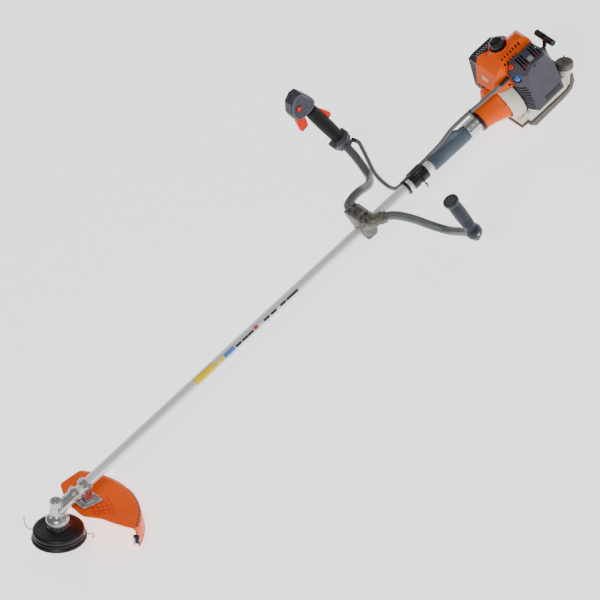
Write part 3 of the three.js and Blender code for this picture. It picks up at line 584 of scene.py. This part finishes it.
def add_gear_case_fittings():
    """Two clamp screws, the grease plug, a locating screw on top and the tower's cap."""
    places = [TUBE_IN_HEAD * along - Vector((0, out, 0)) for along, out in ((48, 17), (63, 20.5))]
    screws = [screw(place, (0, -1, 0), 3.4) for place in places]
    screws.append(screw((0, -20, 10), (0, -1, 0), 3.6))
    screws.append(screw(TUBE_IN_HEAD * 40 + ABOVE_TUBE * 17, ABOVE_TUBE, 3))
    piece("gear_case_screws", joined(*screws), "bright_steel", HEAD)
    lid = lathe([(11.5, 34), (11.5, 35.2), (10.5, 36), (0, 36)], 64)
    nut = lathe([(4, 36), (4, 36.8), (3, 37.2), (0, 37.2)], 6)
    piece("gear_case_cap", joined(lid, nut), "cast", HEAD)


def add_spool_housing():
    """The upper half of the round line head, with three rings on top."""
    outline = [(5, -47), (30, -47), (31, -46.2), (34, -46.2), (35, -47), (56, -47.4), (60, -48.6), (63, -51),
               (64.5, -54), (65, -58.6), (64.6, -59.6), (62.8, -60.6), (62.5, -62), (62.8, -63.4),
               (64.6, -64.4), (65, -65.5), (65, -69.2), (64, -70), (61.5, -70), (61.5, -52), (5, -50.5)]
    housing = lathe(outline, 160)
    piece("spool_housing_moulding", housing, "black", HEAD, "cutting_head", 0, 40, "spool_housing")
    rings = [ring_of([(r - 0.7, -47.6), (r - 0.4, -46.7), (r + 0.4, -46.7), (r + 0.7, -47.6)], 128)
             for r in (39, 45, 51)]
    piece("spool_housing_rings", joined(*rings), "black_gloss", HEAD, "cutting_head")


def add_spool_cap():
    """The lower half of the line head, a ribbed ring that is open for the tap knob."""
    outline = [(37, -81), (64, -81), (67.5, -80.2), (69, -78), (69, -74.5), (68, -73.2), (66, -70.4),
               (37, -70.4)]
    piece("spool_cap_moulding", ring_of(outline, 160), "black", HEAD, "cutting_head", 0, 40, "spool_cap")
    rib = box((67, 69.6), (-1, 1), (-79, -75))
    ribs = [moved(rib, spin(15 * i)) for i in range(24)]
    piece("spool_cap_ribs", joined(*ribs), "black", HEAD, "cutting_head", bevel=0.3)


def add_line_eyelets():
    turn = radians(132)
    outward = Vector((cos(turn), sin(turn), 0))
    ring = ring_of([(1.9, 0), (1.9, 3), (4, 3), (4.6, 2.2), (4.6, 0)], 32)
    eyelets = [moved(ring, axis_frame(out * 63 + Vector((0, 0, -61)), out)) for out in (outward, -outward)]
    piece("line_eyelets", joined(*eyelets), "steel", HEAD, "cutting_head")


def add_bump_knob():
    outline = [(0, -104), (20, -104), (27, -102.6), (31.5, -99.8), (34, -96), (35, -90), (35, -77), (34, -76),
               (30, -76), (30, -90), (0, -90)]
    piece("bump_knob_moulding", lathe(outline, 144, 0.55, 24), "black", HEAD, "tap_knob", 0, 40, "bump_knob")


def guard_arc(radius, start, end, z, steps=24):
    turns = [radians(start + (end - start) * i / steps) for i in range(steps + 1)]
    return [Vector((radius * cos(t), radius * sin(t), z)) for t in turns]


def add_guard_shell():
    """The debris guard: a thin skirted shell, cut from a full ring."""
    top, rim = GUARD_TOP, GUARD_RADIUS
    outline = [
        (52, top), (100, top + 1.4), (150, top + 2), (186, top + 1.8), (198, top + 0.6), (203, top - 2),
        (206, top - 8), (208.5, top - 26), (rim, GUARD_BOTTOM), (rim - 3, GUARD_BOTTOM), (205, top - 27),
        (202.4, top - 9), (199, top - 4.4), (195, top - 2), (149, top - 1), (52, top - 3),
    ]
    plan = [(50, -30), (54, -43.5), (79.5, -78.5), (90, -114), (106, -148), (136, -194), (300, -194),
            (300, 150), (153, 123.5), (82.7, 108), (70, 78), (52, 40)]
    shell = piece("guard_moulding", ring_of(outline, 240), "orange", HEAD, node="guard")
    cut(shell, prism(rounded(plan, 9), GUARD_BOTTOM - 10, top + 10, "xy"), HEAD, "INTERSECT")


def add_guard_details():
    """Strengthening ribs by the guard's bracket in a darker orange that is painted shade, a row of black pads
    along its bevel that are painted shade for its slots, and a bead along its rim.
    """
    top = GUARD_TOP
    ribs = [tube(guard_arc(r, -42 + r * 0.06, -4, top + 1.4), 1.5, 8) for r in (92, 104, 116, 128, 140)]
    for turn in (-36, -28, -20, -12):
        out = Vector((cos(radians(turn)), sin(radians(turn)), 0))
        ribs.append(tube([out * r + Vector((0, 0, top + 1.2)) for r in (88, 116, 144)], 1.4, 8))
    # the ribs take the darker orange as painted shade along their ridges
    piece("guard_ribs", joined(*ribs), "orange_painted_shade", HEAD)
    # black pads stand slightly proud on the bevel where its slots are: painted shade for the dark seen
    # through them
    on_bevel = Matrix.Translation((202.4, 0, top - 2.4)) @ spin(42, "Y")
    slot = box((-4, 4), (-2.8, 2.8), (-0.9, 0.9))
    slots = [moved(slot, spin(-50 + 3.2 * i) @ on_bevel) for i in range(15)]
    piece("guard_rim_slot_shade_pads", joined(*slots), "black", HEAD, bevel=0.4)
    bead = tube(guard_arc(GUARD_RADIUS - 1.5, -56, 38, GUARD_BOTTOM + 2, 48), 1.9, 10)
    piece("guard_beading", bead, "orange", HEAD)


def add_guard_bracket():
    """The casting that holds the guard to the drive tube: a ring on a pillar and a plate."""
    plate_top = GUARD_TOP + 6
    shapes = [
        rod(TUBE_IN_HEAD * 84, TUBE_IN_HEAD * 102, 19, 64, round_end=1.5),
        box((80, 100), (-11, 11), (GUARD_TOP + 2, 30)),
        box((63, 123), (-23, 23), (GUARD_TOP + 2, plate_top)),
        box((84, 96), (-22, 22), (36, 46)),
    ]
    bracket = piece("guard_bracket_casting", joined(*shapes), "cast", HEAD, node="guard_bracket")
    fused(bracket, 1.0)
    bolts = [hex_bolt((x, y, plate_top), (0, 0, 1), 4, 3) for x in (69, 116) for y in (-17, 17)]
    bolts += [hex_bolt((90, side * 22, 41), (0, side, 0), 4, 3) for side in (-1, 1)]
    piece("guard_bolts", joined(*bolts), "bright_steel", HEAD)


def add_cutter():
    turn = spin(CUTTER_TURN)
    holder = moved(box((198.4, 213.6), (-7.8, -0.2), (-58.6, -35.4)), turn)
    piece("cutter_holder_moulding", holder, "black", HEAD, bevel=1.4, node="cutter_holder")
    outline = [(-15, -57), (-13.6, -56), (-13.6, -38), (-15, -37), (-2.4, -37), (-2.4, -57)]
    blade = moved(prism(outline, 202.3, 205.7, "yz"), turn)
    piece("cutter_blade", blade, "steel", HEAD, bevel=0.5, node="line_cutter")
    bolt = hex_bolt(turn @ Vector((213, -4, -47)), turn @ Vector((1, 0, 0)), 3.2, 1.6)
    piece("cutter_bolt", bolt, "steel", HEAD)


# -------- shaft

CABLE_ROUTE = [
    (1222, 268, -12), (1228, 252, -18), (1219, 222, -20), (1204, 182, -20), (1187, 136, -19), (1178, 88, -16),
    (1176, 48, -11), (1180, 24, -2), (1194, 18, 2), (1214, 17.5, 5), (1240, 16, 9), (1264, 13.5, 13),
    (1290, 9, 18.5), (1318, 4, 26), (1345, 0, 36), (1368, -1, 43.5), (1400, -2, 46.5), (1435, -5, 49),
    (1470, -16, 57), (1496, -26, 66), (1520, -37, 76), (1540, -45, 85), (1551, -49, 90),
]


def decal(x0, x1, facing, spread):
    """A thin patch that hugs the drive tube, spread by some degrees to each side of where it faces."""
    steps = 14
    turns = [radians(facing - spread + 2 * spread * i / steps) for i in range(steps + 1)]
    outer, inner = ([(radius * cos(t), radius * sin(t)) for t in turns]
                    for radius in (TUBE_RADIUS + 0.12, TUBE_RADIUS + 0.02))
    return skin([[(x, y, z) for y, z in outer + inner[::-1]] for x in (x0, x1)])


def add_tube():
    inner, rim = TUBE_RADIUS - TUBE_WALL, TUBE_RADIUS - 0.4
    wall = ring_of([(rim, TUBE_START), (TUBE_RADIUS, TUBE_START + 0.4), (TUBE_RADIUS, TUBE_END - 0.4),
                    (rim, TUBE_END), (inner, TUBE_END), (inner, TUBE_START)], 96)
    piece("drive_tube_metal", along_shaft(wall), "tube", node="drive_tube")


def add_decals():
    """Plain patches and bars where the tube has its stickers."""
    piece("decal_yellow", decal(468, 530, 132, 44), "label_yellow")
    piece("decal_small", joined(decal(533, 545, 146, 26), decal(549, 561, 146, 26)), "label_yellow")
    piece("decal_blue", decal(566, 600, 142, 26), "label_blue")
    piece("decal_red", decal(668, 680, 142, 22), "label_red")
    bars = [decal(start, start + 19, 148, 15) for start in (604, 626, 646, 700, 724, 756, 778, 797)]
    piece("decal_dark", joined(*bars), "label_dark")


def add_shaft_rings():
    stop = ring_of([
        (ON_TUBE, 1193), (ON_TUBE, 1199), (19.6, 1199), (20.5, 1198), (20.5, 1194), (19.6, 1193),
    ], 96)
    piece("stop_ring_moulding", along_shaft(stop), "black", node="stop_ring")
    collar = ring_of([(ON_TUBE, 1404), (ON_TUBE, 1441), (22, 1441), (22.5, 1440.4), (22.5, 1437),
                      (22.1, 1436.4), (22.1, 1409.5), (22.5, 1409), (22.5, 1405), (21.6, 1404)], 96)
    piece("coupling_collar_metal", along_shaft(collar), "bright_steel", node="coupling_collar")
    screws = [screw((x, -15.4, 15.4), (0, -1, 1), 3.2, 2) for x in (1415, 1430)]
    piece("collar_screws", joined(*screws), "steel")


def add_harness_clamp():
    """The moulded clamp that carries the harness eye and holds the throttle conduit."""
    ring = ring_of([(ON_TUBE, 1212), (ON_TUBE, 1262), (19, 1262), (20, 1261), (20, 1237), (18.4, 1235.6),
                    (18.4, 1231), (20, 1229.6), (20, 1213), (19, 1212)], 64)
    conduit_lug = rod((1216, 14.5, 5), (1258, 12, 10), 10, 48, round_end=1)
    lugs = [box((1226, 1252), (-8, 8), (14, 26)), conduit_lug, box((1220, 1254), (-19.5, -12), (-4, 4))]
    shape = joined(along_shaft(ring), *lugs)
    clamp = piece("harness_clamp_moulding", shape, "black_gloss", node="harness_clamp")
    fused(clamp, 0.8, 4)
    bolts = [screw((x, -8, 21), (0, -1, 0), 3, 2.4) for x in (1232, 1246)]
    bolts.append(screw((1239, -20, 0), (0, -1, 0), 3))
    piece("harness_clamp_screws", joined(*bolts), "black_gloss")


def add_harness_eye():
    middle = Vector((1239.5, 0, 0))
    out = Vector((0, -sqrt(0.5), -sqrt(0.5)))
    eye = ring_of([
        (4.5, -1.6), (5.2, -2.4), (7.3, -2.4), (8, -1.6), (8, 1.6), (7.3, 2.4), (5.2, 2.4), (4.5, 1.6),
    ], 48)
    eye = moved(eye, axis_frame(middle + out * 31, (1, 0, 0)))
    shank = rod(middle + out * 19, middle + out * 24, 3, 24)
    piece("harness_eye_steel", joined(eye, shank), "bright_steel", node="harness_eyelet")


def add_rear_sleeve():
    """The foam hand sleeve, swelling on top where the throttle conduit runs out of it."""
    body = lathe([(ON_TUBE, 1282), (18, 1282), (20, 1283.2), (20.5, 1285), (20.5, 1400), (20, 1402),
                  (18, 1403), (ON_TUBE, 1403)], 64)
    sections = [(1286, 9, 4, 21), (1310, 8.5, 6, 25.5), (1340, 8, 10, 33), (1366, 7.5, 10, 37.5),
                (1382, 7, 10, 31), (1396, 6.5, 10, 20)]
    rings = []
    for x, half, low, high in sections:
        y, z, tall = 11 - (x - 1286) * 0.11, (low + high) / 2, (high - low) / 2
        rings.append([(x, y + half * cos(t), z + tall * sin(t)) for t in full_turn(24)])
    shape = joined(along_shaft(body), skin(rings))
    fused(piece("rear_sleeve_foam", shape, "sleeve", node="rear_sleeve"), 1.1, 8)


def add_conduit():
    """The throttle conduit, with its ferrule at the engine and its strain relief at the handle."""
    path = smooth_path(CABLE_ROUTE, 6)
    piece("conduit", tube(path, CABLE_RADIUS, 24), "conduit", node="throttle_cable")
    ferrule = rod((1528, -40.3, 79.6), (1552, -49.4, 90.4), 5.6, 40, round_end=1)
    relief = rod((1222, 268, -12), (1227, 256, -17), 6.2, 32, 5.2, 0.8)
    piece("conduit_ferrules", joined(ferrule, relief), "black")


def add_conduit_tie():
    """The tie that holds the conduit: a loop, its cut-off tail and a band round the shaft."""
    place = axis_frame((1437, -5.4, 49.2), (35, -7, 5))
    loop = ring_of([(3.9, -1.6), (3.9, 1.6), (5.6, 1.6), (5.6, -1.6)], 32)
    tail = box((-1.6, 1.6), (5, 17), (-0.7, 0.7))
    band = ring_of([(27.9, -1.6), (27.9, 1.6), (29.2, 1.6), (29.2, -1.6)], 96)
    band = moved(band, axis_frame((1448, 0, 0), (1, 0, 0)))
    piece("conduit_tie", joined(moved(loop, place), moved(tail, place), band), "black", bevel=0.3)


# -------- handlebar, clamp and grips

BAR_RIGHT = [(BAR_X, 30, BAR_HEIGHT), (1056, 47, BAR_HEIGHT), (1077, 58, 43), (1105, 70, 33), (1136, 94, 4),
             (1160, 127, -26), (1180, 166, -42), (1192, 215, -27), (1197, 254, -12), BAR_END]


def add_handlebar():
    left = [(x, -y, z) for x, y, z in BAR_RIGHT[::-1]]
    path = smooth_path([*left, (BAR_X, 0, BAR_HEIGHT), *BAR_RIGHT], 6)
    piece("handlebar_tube", tube(path, BAR_RADIUS, 40), "bar", node="handlebar")


def add_clamp():
    """Three cast blocks: the lower two hold the drive tube and the cap holds the bar."""
    cap_bolts = [(x, y) for x in (1043, 1061) for y in (-30, 18)]
    pockets = [box((1041, 1063), (y, y + 8), (59, 64)) for y in (-19, -8, 3)]
    bend = smooth_path([(BAR_X, -24, 45), (1056, -47, 45), (1077, -58, 43), (1092, -64, 38)], 8)
    bands = [rod(bend[i], bend[i + 2], 17.5, 32) for i in (10, 17)]
    bosses = [rod((x, y, 54), (x, y, 61), 7.5, 24) for x, y in cap_bolts]
    moulded("clamp_cap_casting", "clamp_cap", "rough_cast", adds=[tube(bend, 15.5, 32), *bands, *bosses],
            cuts=pockets, voxel=1.1, rounds=2)
    ridges = [box((x, x + 3), (-37, 26), (4, 40)) for x in (1037, 1062)]
    moulded("clamp_middle_casting", "clamp_middle", "rough_cast", adds=ridges, voxel=1.1)
    bosses = [rod((1041, y, -20), (1041, y, -3), 7, 24) for y in (-19, 19)]
    moulded("clamp_lower_casting", "clamp_lower", "rough_cast", adds=bosses, voxel=1.1)
    bolts = [hex_bolt((x, y, 61), (0, 0, 1), 5, 4.5) for x, y in cap_bolts]
    bolts += [hex_bolt((x, y, -20), (0, 0, -1), 4.5, 4) for x in (1041, 1063) for y in (-19, 19)]
    bolts += [hex_bolt((1040, y, 57), (-1, 0, 0.3), 4, 3) for y in (-20, 8)]
    piece("clamp_bolts", joined(*bolts), "dark_steel")


def add_left_grip():
    """A rubber grip with a swollen foot, a waisted middle with shallow rings and a flanged end."""
    outline = [(0, -15), (8, -15), (12.5, -13.8), (17, -10.5), (20, -5), (21, 1), (20.6, 8), (19.4, 13),
               (16.6, 18.5), (15.3, 23), (15, 28)]
    for height in range(32, 110, 6):
        swell = 15.6 + 2.1 * sin(pi * (height - 30) / 90)
        groove = swell - 0.4
        outline += [(swell, height), (swell, height + 3.6), (groove, height + 4.2), (groove, height + 5.4)]
    outline += [(17.3, 111), (19.6, 114.5), (20.5, 118), (20.5, 123), (19.6, 125.6), (18.2, 126.5),
                (14.5, 126.3), (13.5, 125), (0, 125)]
    piece("left_grip_rubber", lathe(outline, 96), "rubber", LEFT, node="left_grip", sharp=50)
    piece("left_grip_screw", screw((0, -20, 2), (0, -1, 0), 3, 2), "steel", LEFT)


HANDLE_HEAD = [
    (-20, 156), (12, 156), (23, 166), (25, 176), (20, 200), (13, 225), (-2, 231), (-26, 222), (-43, 199),
    (-45, 186), (-43, 169),
]
HANDLE_SIDE = 16.8
BUTTON_X, BUTTON_Z = -19, 195


def closed_cord(outline, y, radius, sides):
    """A round cord that follows an outline in the XZ plane, back to its start."""
    loop = [Vector((x, y, z)) for x, z in outline]
    return tube([*loop, loop[0]], radius, sides)


def add_handle_shell():
    """The throttle handle's shell, with a raised rim on each side of its head and its halves' seam."""
    moulded("handle_shell_moulding", "handle_shell", "slate")
    inset = [(x * 0.86 - 1.5, 193 + (z - 193) * 0.86) for x, z in rounded(HANDLE_HEAD, 9)]
    rims = [closed_cord(inset, y, 1.3, 10) for y in (-16.9, 16.9)]
    piece("handle_rims", joined(*rims), "conduit", HANDLE)
    piece("handle_seam", closed_cord(rounded(HANDLE_HEAD, 8), 0, 0.7, 8), "black", HANDLE)


def add_grip_sleeve():
    """The soft ringed sleeve on the handle, open where the lockout lever sits."""
    rings = []
    for i in range(29):
        height = 16.6 + i * 4.75
        swell = 16 + 1.4 * sin(pi * (height - 16) / 140) + (0.5 if i % 2 else 0)
        rings.append([(cos(t) * (swell + 1), sin(t) * swell, height) for t in full_turn(64)])
    sleeve = piece("grip_sleeve_moulding", skin(rings), "soft_grip", HANDLE, "machine", 0, 60, "grip_sleeve")
    cut(sleeve, box((4, 30), (-6, 6), (76, 138)), HANDLE)


def add_triggers():
    """The throttle trigger in front of the handle and the lockout lever behind it."""
    trigger = [(-21, 154.5), (-43, 167), (-49, 148), (-54, 128), (-51, 123), (-42, 122.5), (-31, 122),
               (-25, 136)]
    lockout = [(12.6, 132), (18, 132), (24, 114), (31, 91), (28, 84), (12.6, 82)]
    for body, node, outline, corner, half in (("trigger", "throttle_trigger", trigger, 5, 5.5),
                                              ("lockout", "lockout_lever", lockout, 4, 5)):
        shape = prism(rounded(outline, corner), -half, half)
        piece(body + "_moulding", shape, "red", HANDLE, body, 1.2, 40, node)


def add_handle_fittings():
    """The stop button with its bezel, and the screws that hold the handle together."""
    cap = lathe([(6.5, 0), (6.5, 6.4), (5.9, 7.2), (4, 7.5), (0, 7.3)], 64)
    cap = moved(cap, axis_frame((BUTTON_X, -12, BUTTON_Z), (0, -1, 0)))
    piece("stop_button_cap", cap, "red", HANDLE, "stop_switch", node="stop_button")
    bezel = ring_of([(7.1, 0), (7.1, 1.6), (8.4, 1.6), (9.2, 0.6), (9.2, 0)], 64)
    bezel = moved(bezel, axis_frame((BUTTON_X, -HANDLE_SIDE, BUTTON_Z), (0, -1, 0)))
    piece("stop_button_bezel", bezel, "black", HANDLE)
    screws = [screw((x, HANDLE_SIDE, z), (0, 1, 0), 2.6, 1.4) for x, z in ((8, 172), (2, 218), (-34, 180))]
    screws.append(screw((-22, -13, 2), (0, -1, 0), 3.2, 1.6))
    piece("handle_screws", joined(*screws), "steel", HANDLE)


# -------- engine

CONE_BOLTS = (35, 100, 160, 215, 270, 325)
STARTER_SCREWS = (45, 135, 225, 315)


def bolt_circle(x, radius, turns):
    """Points round the shaft's axis at some turns in degrees from +Y."""
    angles = [radians(turn) for turn in turns]
    return [(x, radius * cos(angle), radius * sin(angle)) for angle in angles]


def add_clutch_housing():
    """The orange cone with its bolt lugs and bolts, and the black ring on its small end."""
    ends = zip(bolt_circle(1512, 45, CONE_BOLTS), bolt_circle(1519, 45, CONE_BOLTS))
    lugs = [rod(start, end, 4.4, 24) for start, end in ends]
    moulded("clutch_housing_moulding", "clutch_housing", "orange", adds=lugs, rounds=6)
    front = ring_of([
        (24.5, 1441.5), (24.5, 1446), (28.4, 1446), (28.8, 1445.2), (28.8, 1442.3), (28.2, 1441.5),
    ], 96)
    piece("clutch_housing_ring", along_shaft(front), "black")
    bolts = [screw(place, (-1, 0, 0), 2.8, 2) for place in bolt_circle(1511.4, 45, CONE_BOLTS)]
    piece("clutch_housing_bolts", joined(*bolts), "steel")


def add_shroud():
    """The engine shroud, with a collar round the plug boot and two rows of slanted louvres."""
    slots = []
    for i in range(7):
        place = Matrix.Translation((1575 + 9.6 * i, 0, 0)) @ spin(-14)
        if i < 5:  # the lower row is shorter
            slots.append(moved(box((-1.9, 1.9), (-50, -40.2), (119, 130.5)), place))
        slots.append(moved(box((-1.9, 1.9), (-40, -30.5), (133.5, 146)), place))
    collar = ring_of([(22.6, 112), (22.6, 142.5), (23.4, 143.4), (24.8, 143.4), (25.8, 142), (26.6, 112)], 64)
    collar = moved(collar, Matrix.Translation(BOOT_AXIS))
    moulded("shroud_moulding", "shroud", "orange", adds=[collar], cuts=[joined(*slots)], voxel=1.15, rounds=6,
            keep=0.35)


def add_shroud_fittings():
    out = Vector((-0.916, 0, 0.401))
    place = axis_frame(Vector((1519.5, 12, 80)) + out * 0.1, out)
    piece("shroud_label", moved(box((-5.5, 5.5), (-13, 13), (0, 0.5)), place), "label_pink", bevel=0.2)
    bolts = [screw((1549, -42.4, 62), (-0.47, -0.88, 0), 2.8), screw((1638, 50, 72), (0, 1, 0))]
    piece("shroud_screws", joined(*bolts), "black_gloss")


def add_plug_boot():
    rings = []
    for i, radius in enumerate((17, 19.6, 20, 19)):
        ring = ring_of([(radius - 2.4, -1.5), (radius - 2.4, 1.5), (radius, 1), (radius, -1)], 64)
        lift = Matrix.Translation((0, 0, 132 + 7.5 * i))
        rings.append(moved(ring, Matrix.Translation(BOOT_AXIS) @ lift @ Matrix.Diagonal((1, 0.95, 1, 1))))
    moulded("plug_boot_rubber", "spark_plug_boot", "black_gloss", adds=rings, voxel=0.8, rounds=3)


HOLE_PITCH = 8
HOLE_ROW = 5.6


def diamond(middle, along, across, out):
    """A diamond-shaped hole through sheet metal."""
    sides = [along * 3.5, across * 2.5, -along * 3.5, -across * 2.5]
    return skin([[middle + side + out * depth for side in sides] for depth in (-4.5, 4)])


def holes_round_edge(outline):
    """Five staggered rows of holes along each long stretch of the guard's folded edge."""
    across = Vector((0, 1, 0))
    holes = []
    for a, b in zip(outline, outline[1:]):
        start, end = Vector((a[0], 0, a[1])), Vector((b[0], 0, b[1]))
        along = (end - start).normalized()
        count = int(((end - start).length - 5) / HOLE_PITCH)
        if count < 1 or start.z < 5:
            continue
        for row in range(5):
            for column in range(count):
                place = 5 + HOLE_PITCH * column + (HOLE_PITCH / 2 if row % 2 else 0)
                middle = start + along * place + across * (56 + HOLE_ROW * row)
                holes.append(diamond(middle, along, across, across.cross(along)))
    return holes


def holes_in_side():
    """Staggered rows of holes over the guard's flat side."""
    along, across, out = Vector((1, 0, 0)), Vector((0, 0, 1)), Vector((0, 1, 0))
    holes = []
    for row in range(16):
        for column in range(15):
            x = 1530 + HOLE_PITCH * column + (HOLE_PITCH / 2 if row % 2 else 0)
            z = 11 + HOLE_ROW * row
            if x > 1518 + z * 0.21 + 7 and x + z < 1708 and x < 1640:
                holes.append(diamond(Vector((x, 83, z)), along, across, out))
    return holes


def add_muffler_guard():
    """A pressed guard pierced all over with diamond holes."""
    outline = [(1517, 4), (1515, 20), (1532, 102), (1545, 106), (1608, 106), (1638, 82), (1646, 72),
               (1646, 8), (1640, 2)]
    guard = piece("muffler_guard_pressing", bare_solid("muffler_guard"), "mesh", node="muffler_guard")
    cut(guard, joined(*holes_round_edge(outline), *holes_in_side()))


def add_filter_cover():
    """The air filter cover: a slate shell with cooling slots round three sides of its rim, and a black plate
    behind them as painted shade for the dark inside.
    """
    slots = [box((1550, 1571), (-89, -56), (z, z + 3.6)) for z in [-23 + 8.6 * i for i in range(10)]]
    slots += [box((x, x + 4), (-88, -56), (98, 140)) for x in (1586, 1594, 1602, 1627, 1635, 1643)]
    slots += [box((1650, 1680), (-88, -56), (z, z + 3.6)) for z in (88, 96, 104, 112)]
    moulded("filter_cover_moulding", "filter_cover", "slate", cuts=[joined(*slots)], rounds=3)
    rim = [(1559, -27), (1661, -27), (1666, 83), (1646, 126), (1577, 126), (1559, 98)]
    piece("filter_cover_seal", closed_cord(rounded(rim, 6), -50, 1.5, 10), "black")
    piece("filter_cover_panel", box((1596, 1648), (-95.5, -94.4), (-16, 0)), "black", bevel=0.3)
    plate = moved(box((-7, 7), (-11, 11), (0, 0.8)), axis_frame((1616, -76, 121.5), (0, -0.45, 0.89)))
    piece("filter_cover_plate", plate, "label_grey", bevel=0.3)
    # a black plate behind the cover's slots: painted shade for the dark seen through them
    backing = [(1562, -24), (1658, -24), (1662, 82), (1644, 124), (1579, 124), (1562, 97)]
    piece("filter_slot_shade_backing", prism(rounded(backing, 5), -57, -53), "black", bevel=0.5)
    piece("filter_cover_screw", screw((1612, -94.6, 104), (0, -1, 0), 3.4, 1.6), "black_gloss")
    piece("choke_plate", box((1583, 1650), (-84, -58), (84, 96)), "red", bevel=2)


BULB = axis_frame((1569, -66, 86), (-0.8, -0.56, 0.2))
KNOB = axis_frame((1572, -62, 116), (-0.45, -0.2, 0.87))


def add_primer():
    dome = lathe([(0, -3), (11, -3), (11.5, -2.4), (11.5, 1), (11, 3.4), (9.8, 6), (8, 8.2), (5.6, 9.8),
                  (3, 10.7), (0, 11)], 64)
    piece("primer_dome", moved(dome, BULB), "blue", body="primer", node="primer_bulb")
    bezel = ring_of([(11.9, -4), (11.9, 1.4), (13, 2.2), (14.6, 1.6), (15, 0), (15, -4)], 64)
    piece("primer_bezel", moved(bezel, BULB), "black_gloss")


def add_choke_knob():
    knob = lathe([(3, -6), (3, 9), (5.4, 9.2), (6, 10), (6, 13.2), (5.2, 14), (0, 14)], 48, 0.2, 12)
    piece("choke_knob_moulding", moved(knob, KNOB), "red", body="choke", node="choke_knob")


def add_starter_cover():
    vent = box((1668, 1673), (-1.8, 1.8), (18, 33))
    vents = [moved(vent, spin(30 * i, "X")) for i in range(12)]
    moulded("starter_cover_moulding", "starter_housing", "slate", cuts=[joined(*vents)])
    screws = [screw(place, (1, 0, 0), 3, 2) for place in bolt_circle(1669, 40, STARTER_SCREWS)]
    piece("starter_screws", joined(*screws), "steel")


PULL_AXIS = Vector((0.488, 0, 0.872))
PULL_BASE = Vector((1673, -50, 82))


def add_pull_handle():
    """The starter's pull grip, its rope from the housing and the eye that the rope runs through."""
    notch = box((1678, 1696), (-56, -44), (111, 122))
    moulded("pull_grip", "starter_handle", "black", "pull_handle", cuts=[notch], voxel=0.8, rounds=8)
    rope_path = [PULL_BASE + PULL_AXIS * d for d in range(-8, 9)]
    rope = piece("starter_rope", tube(rope_path, ROPE_RADIUS, 12), "rope")
    rope.parent = None
    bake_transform(rope)
    eye = ring_of([(2.6, -1.4), (2.6, 1.4), (4.6, 1.4), (5.2, 0.6), (5.2, -1.4)], 32)
    piece("rope_eye", moved(eye, axis_frame(PULL_BASE - PULL_AXIS * 3.2, PULL_AXIS)), "black_gloss")


def add_fuel_tank():
    """The blow-moulded tank, with four ridges round its shoulder."""
    moulded("fuel_tank_moulding", "fuel_tank", "cream", voxel=1.2, rounds=8)
    ridges = [along_shaft(ring_of([(60, x), (62.9, x + 0.8), (62.9, x + 1.4), (60, x + 2.2)], 96))
              for x in (1531, 1537, 1543, 1549)]
    seam = piece("fuel_tank_seam", joined(*ridges), "cream")
    cut(seam, joined(box((1500, 1580), (-80, 80), (48, 80)), box((1500, 1580), (0, 80), (-4, 47.9))))


FILLER = axis_frame((1699, -50, -8), (sin(HEAD_TILT), 0, cos(HEAD_TILT)))


def add_fuel_cap():
    outline = [(0, -9), (21.4, -9), (22.3, -8.2), (22.5, -7), (22.5, 5.6), (21.8, 7.6), (19.8, 8.9), (14, 9),
               (13.2, 8.2), (0, 8.2)]
    cap = lathe(outline, 144, 0.45, 24)
    piece("fuel_cap_moulding", moved(cap, FILLER), "taupe", body="filler_cap", node="fuel_cap")
    strap = prism([(-5, 8), (5, 8), (2.6, 18), (1.4, 27), (-1.4, 27), (-2.6, 18)], -1.2, 1.2)
    piece("fuel_cap_strap", moved(strap, FILLER), "taupe", body="filler_cap", bevel=0.4)


def add_foot():
    ribs = [box((x, x + 4), (-62.4, -60), (-84, -72)) for x in range(1552, 1672, 15)]
    moulded("tank_foot_moulding", "tank_foot", "taupe", adds=ribs, voxel=1.2, rounds=5)


PLAIN_FINISHES = {
    "steel": ("lower_bearing", "output_shaft", "crown_gear", "spool_adapter", "bump_spring", "drive_shaft",
              "pinion_gear", "clutch_drum", "crankshaft", "clutch_shoes", "spark_plug", "muffler"),
    "black": ("line_spool", "shaft_bush", "starter_pulley"),
    "rough_cast": ("crankcase", "cylinder", "flywheel"),
    "cast": ("piston", "carburetor"),
    "taupe": ("air_filter",),
}


def finish_hidden_parts():
    for material, names in PLAIN_FINISHES.items():
        for name in names:
            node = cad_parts[name]
            node.data.materials.clear()
            node.data.materials.append(MATERIALS[material])


add_camera()
add_line_tails()
add_floor()
add_light()
add_gear_case()
add_gear_case_fittings()
add_spool_housing()
add_spool_cap()
add_line_eyelets()
add_bump_knob()
add_guard_shell()
add_guard_details()
add_guard_bracket()
add_cutter()
add_tube()
add_decals()
add_shaft_rings()
add_harness_clamp()
add_harness_eye()
add_rear_sleeve()
add_conduit()
add_conduit_tie()
add_handlebar()
add_clamp()
add_left_grip()
add_handle_shell()
add_grip_sleeve()
add_triggers()
add_handle_fittings()
add_clutch_housing()
add_shroud()
add_shroud_fittings()
add_plug_boot()
add_muffler_guard()
add_filter_cover()
add_primer()
add_choke_knob()
add_starter_cover()
add_pull_handle()
add_fuel_tank()
add_fuel_cap()
add_foot()
finish_hidden_parts()
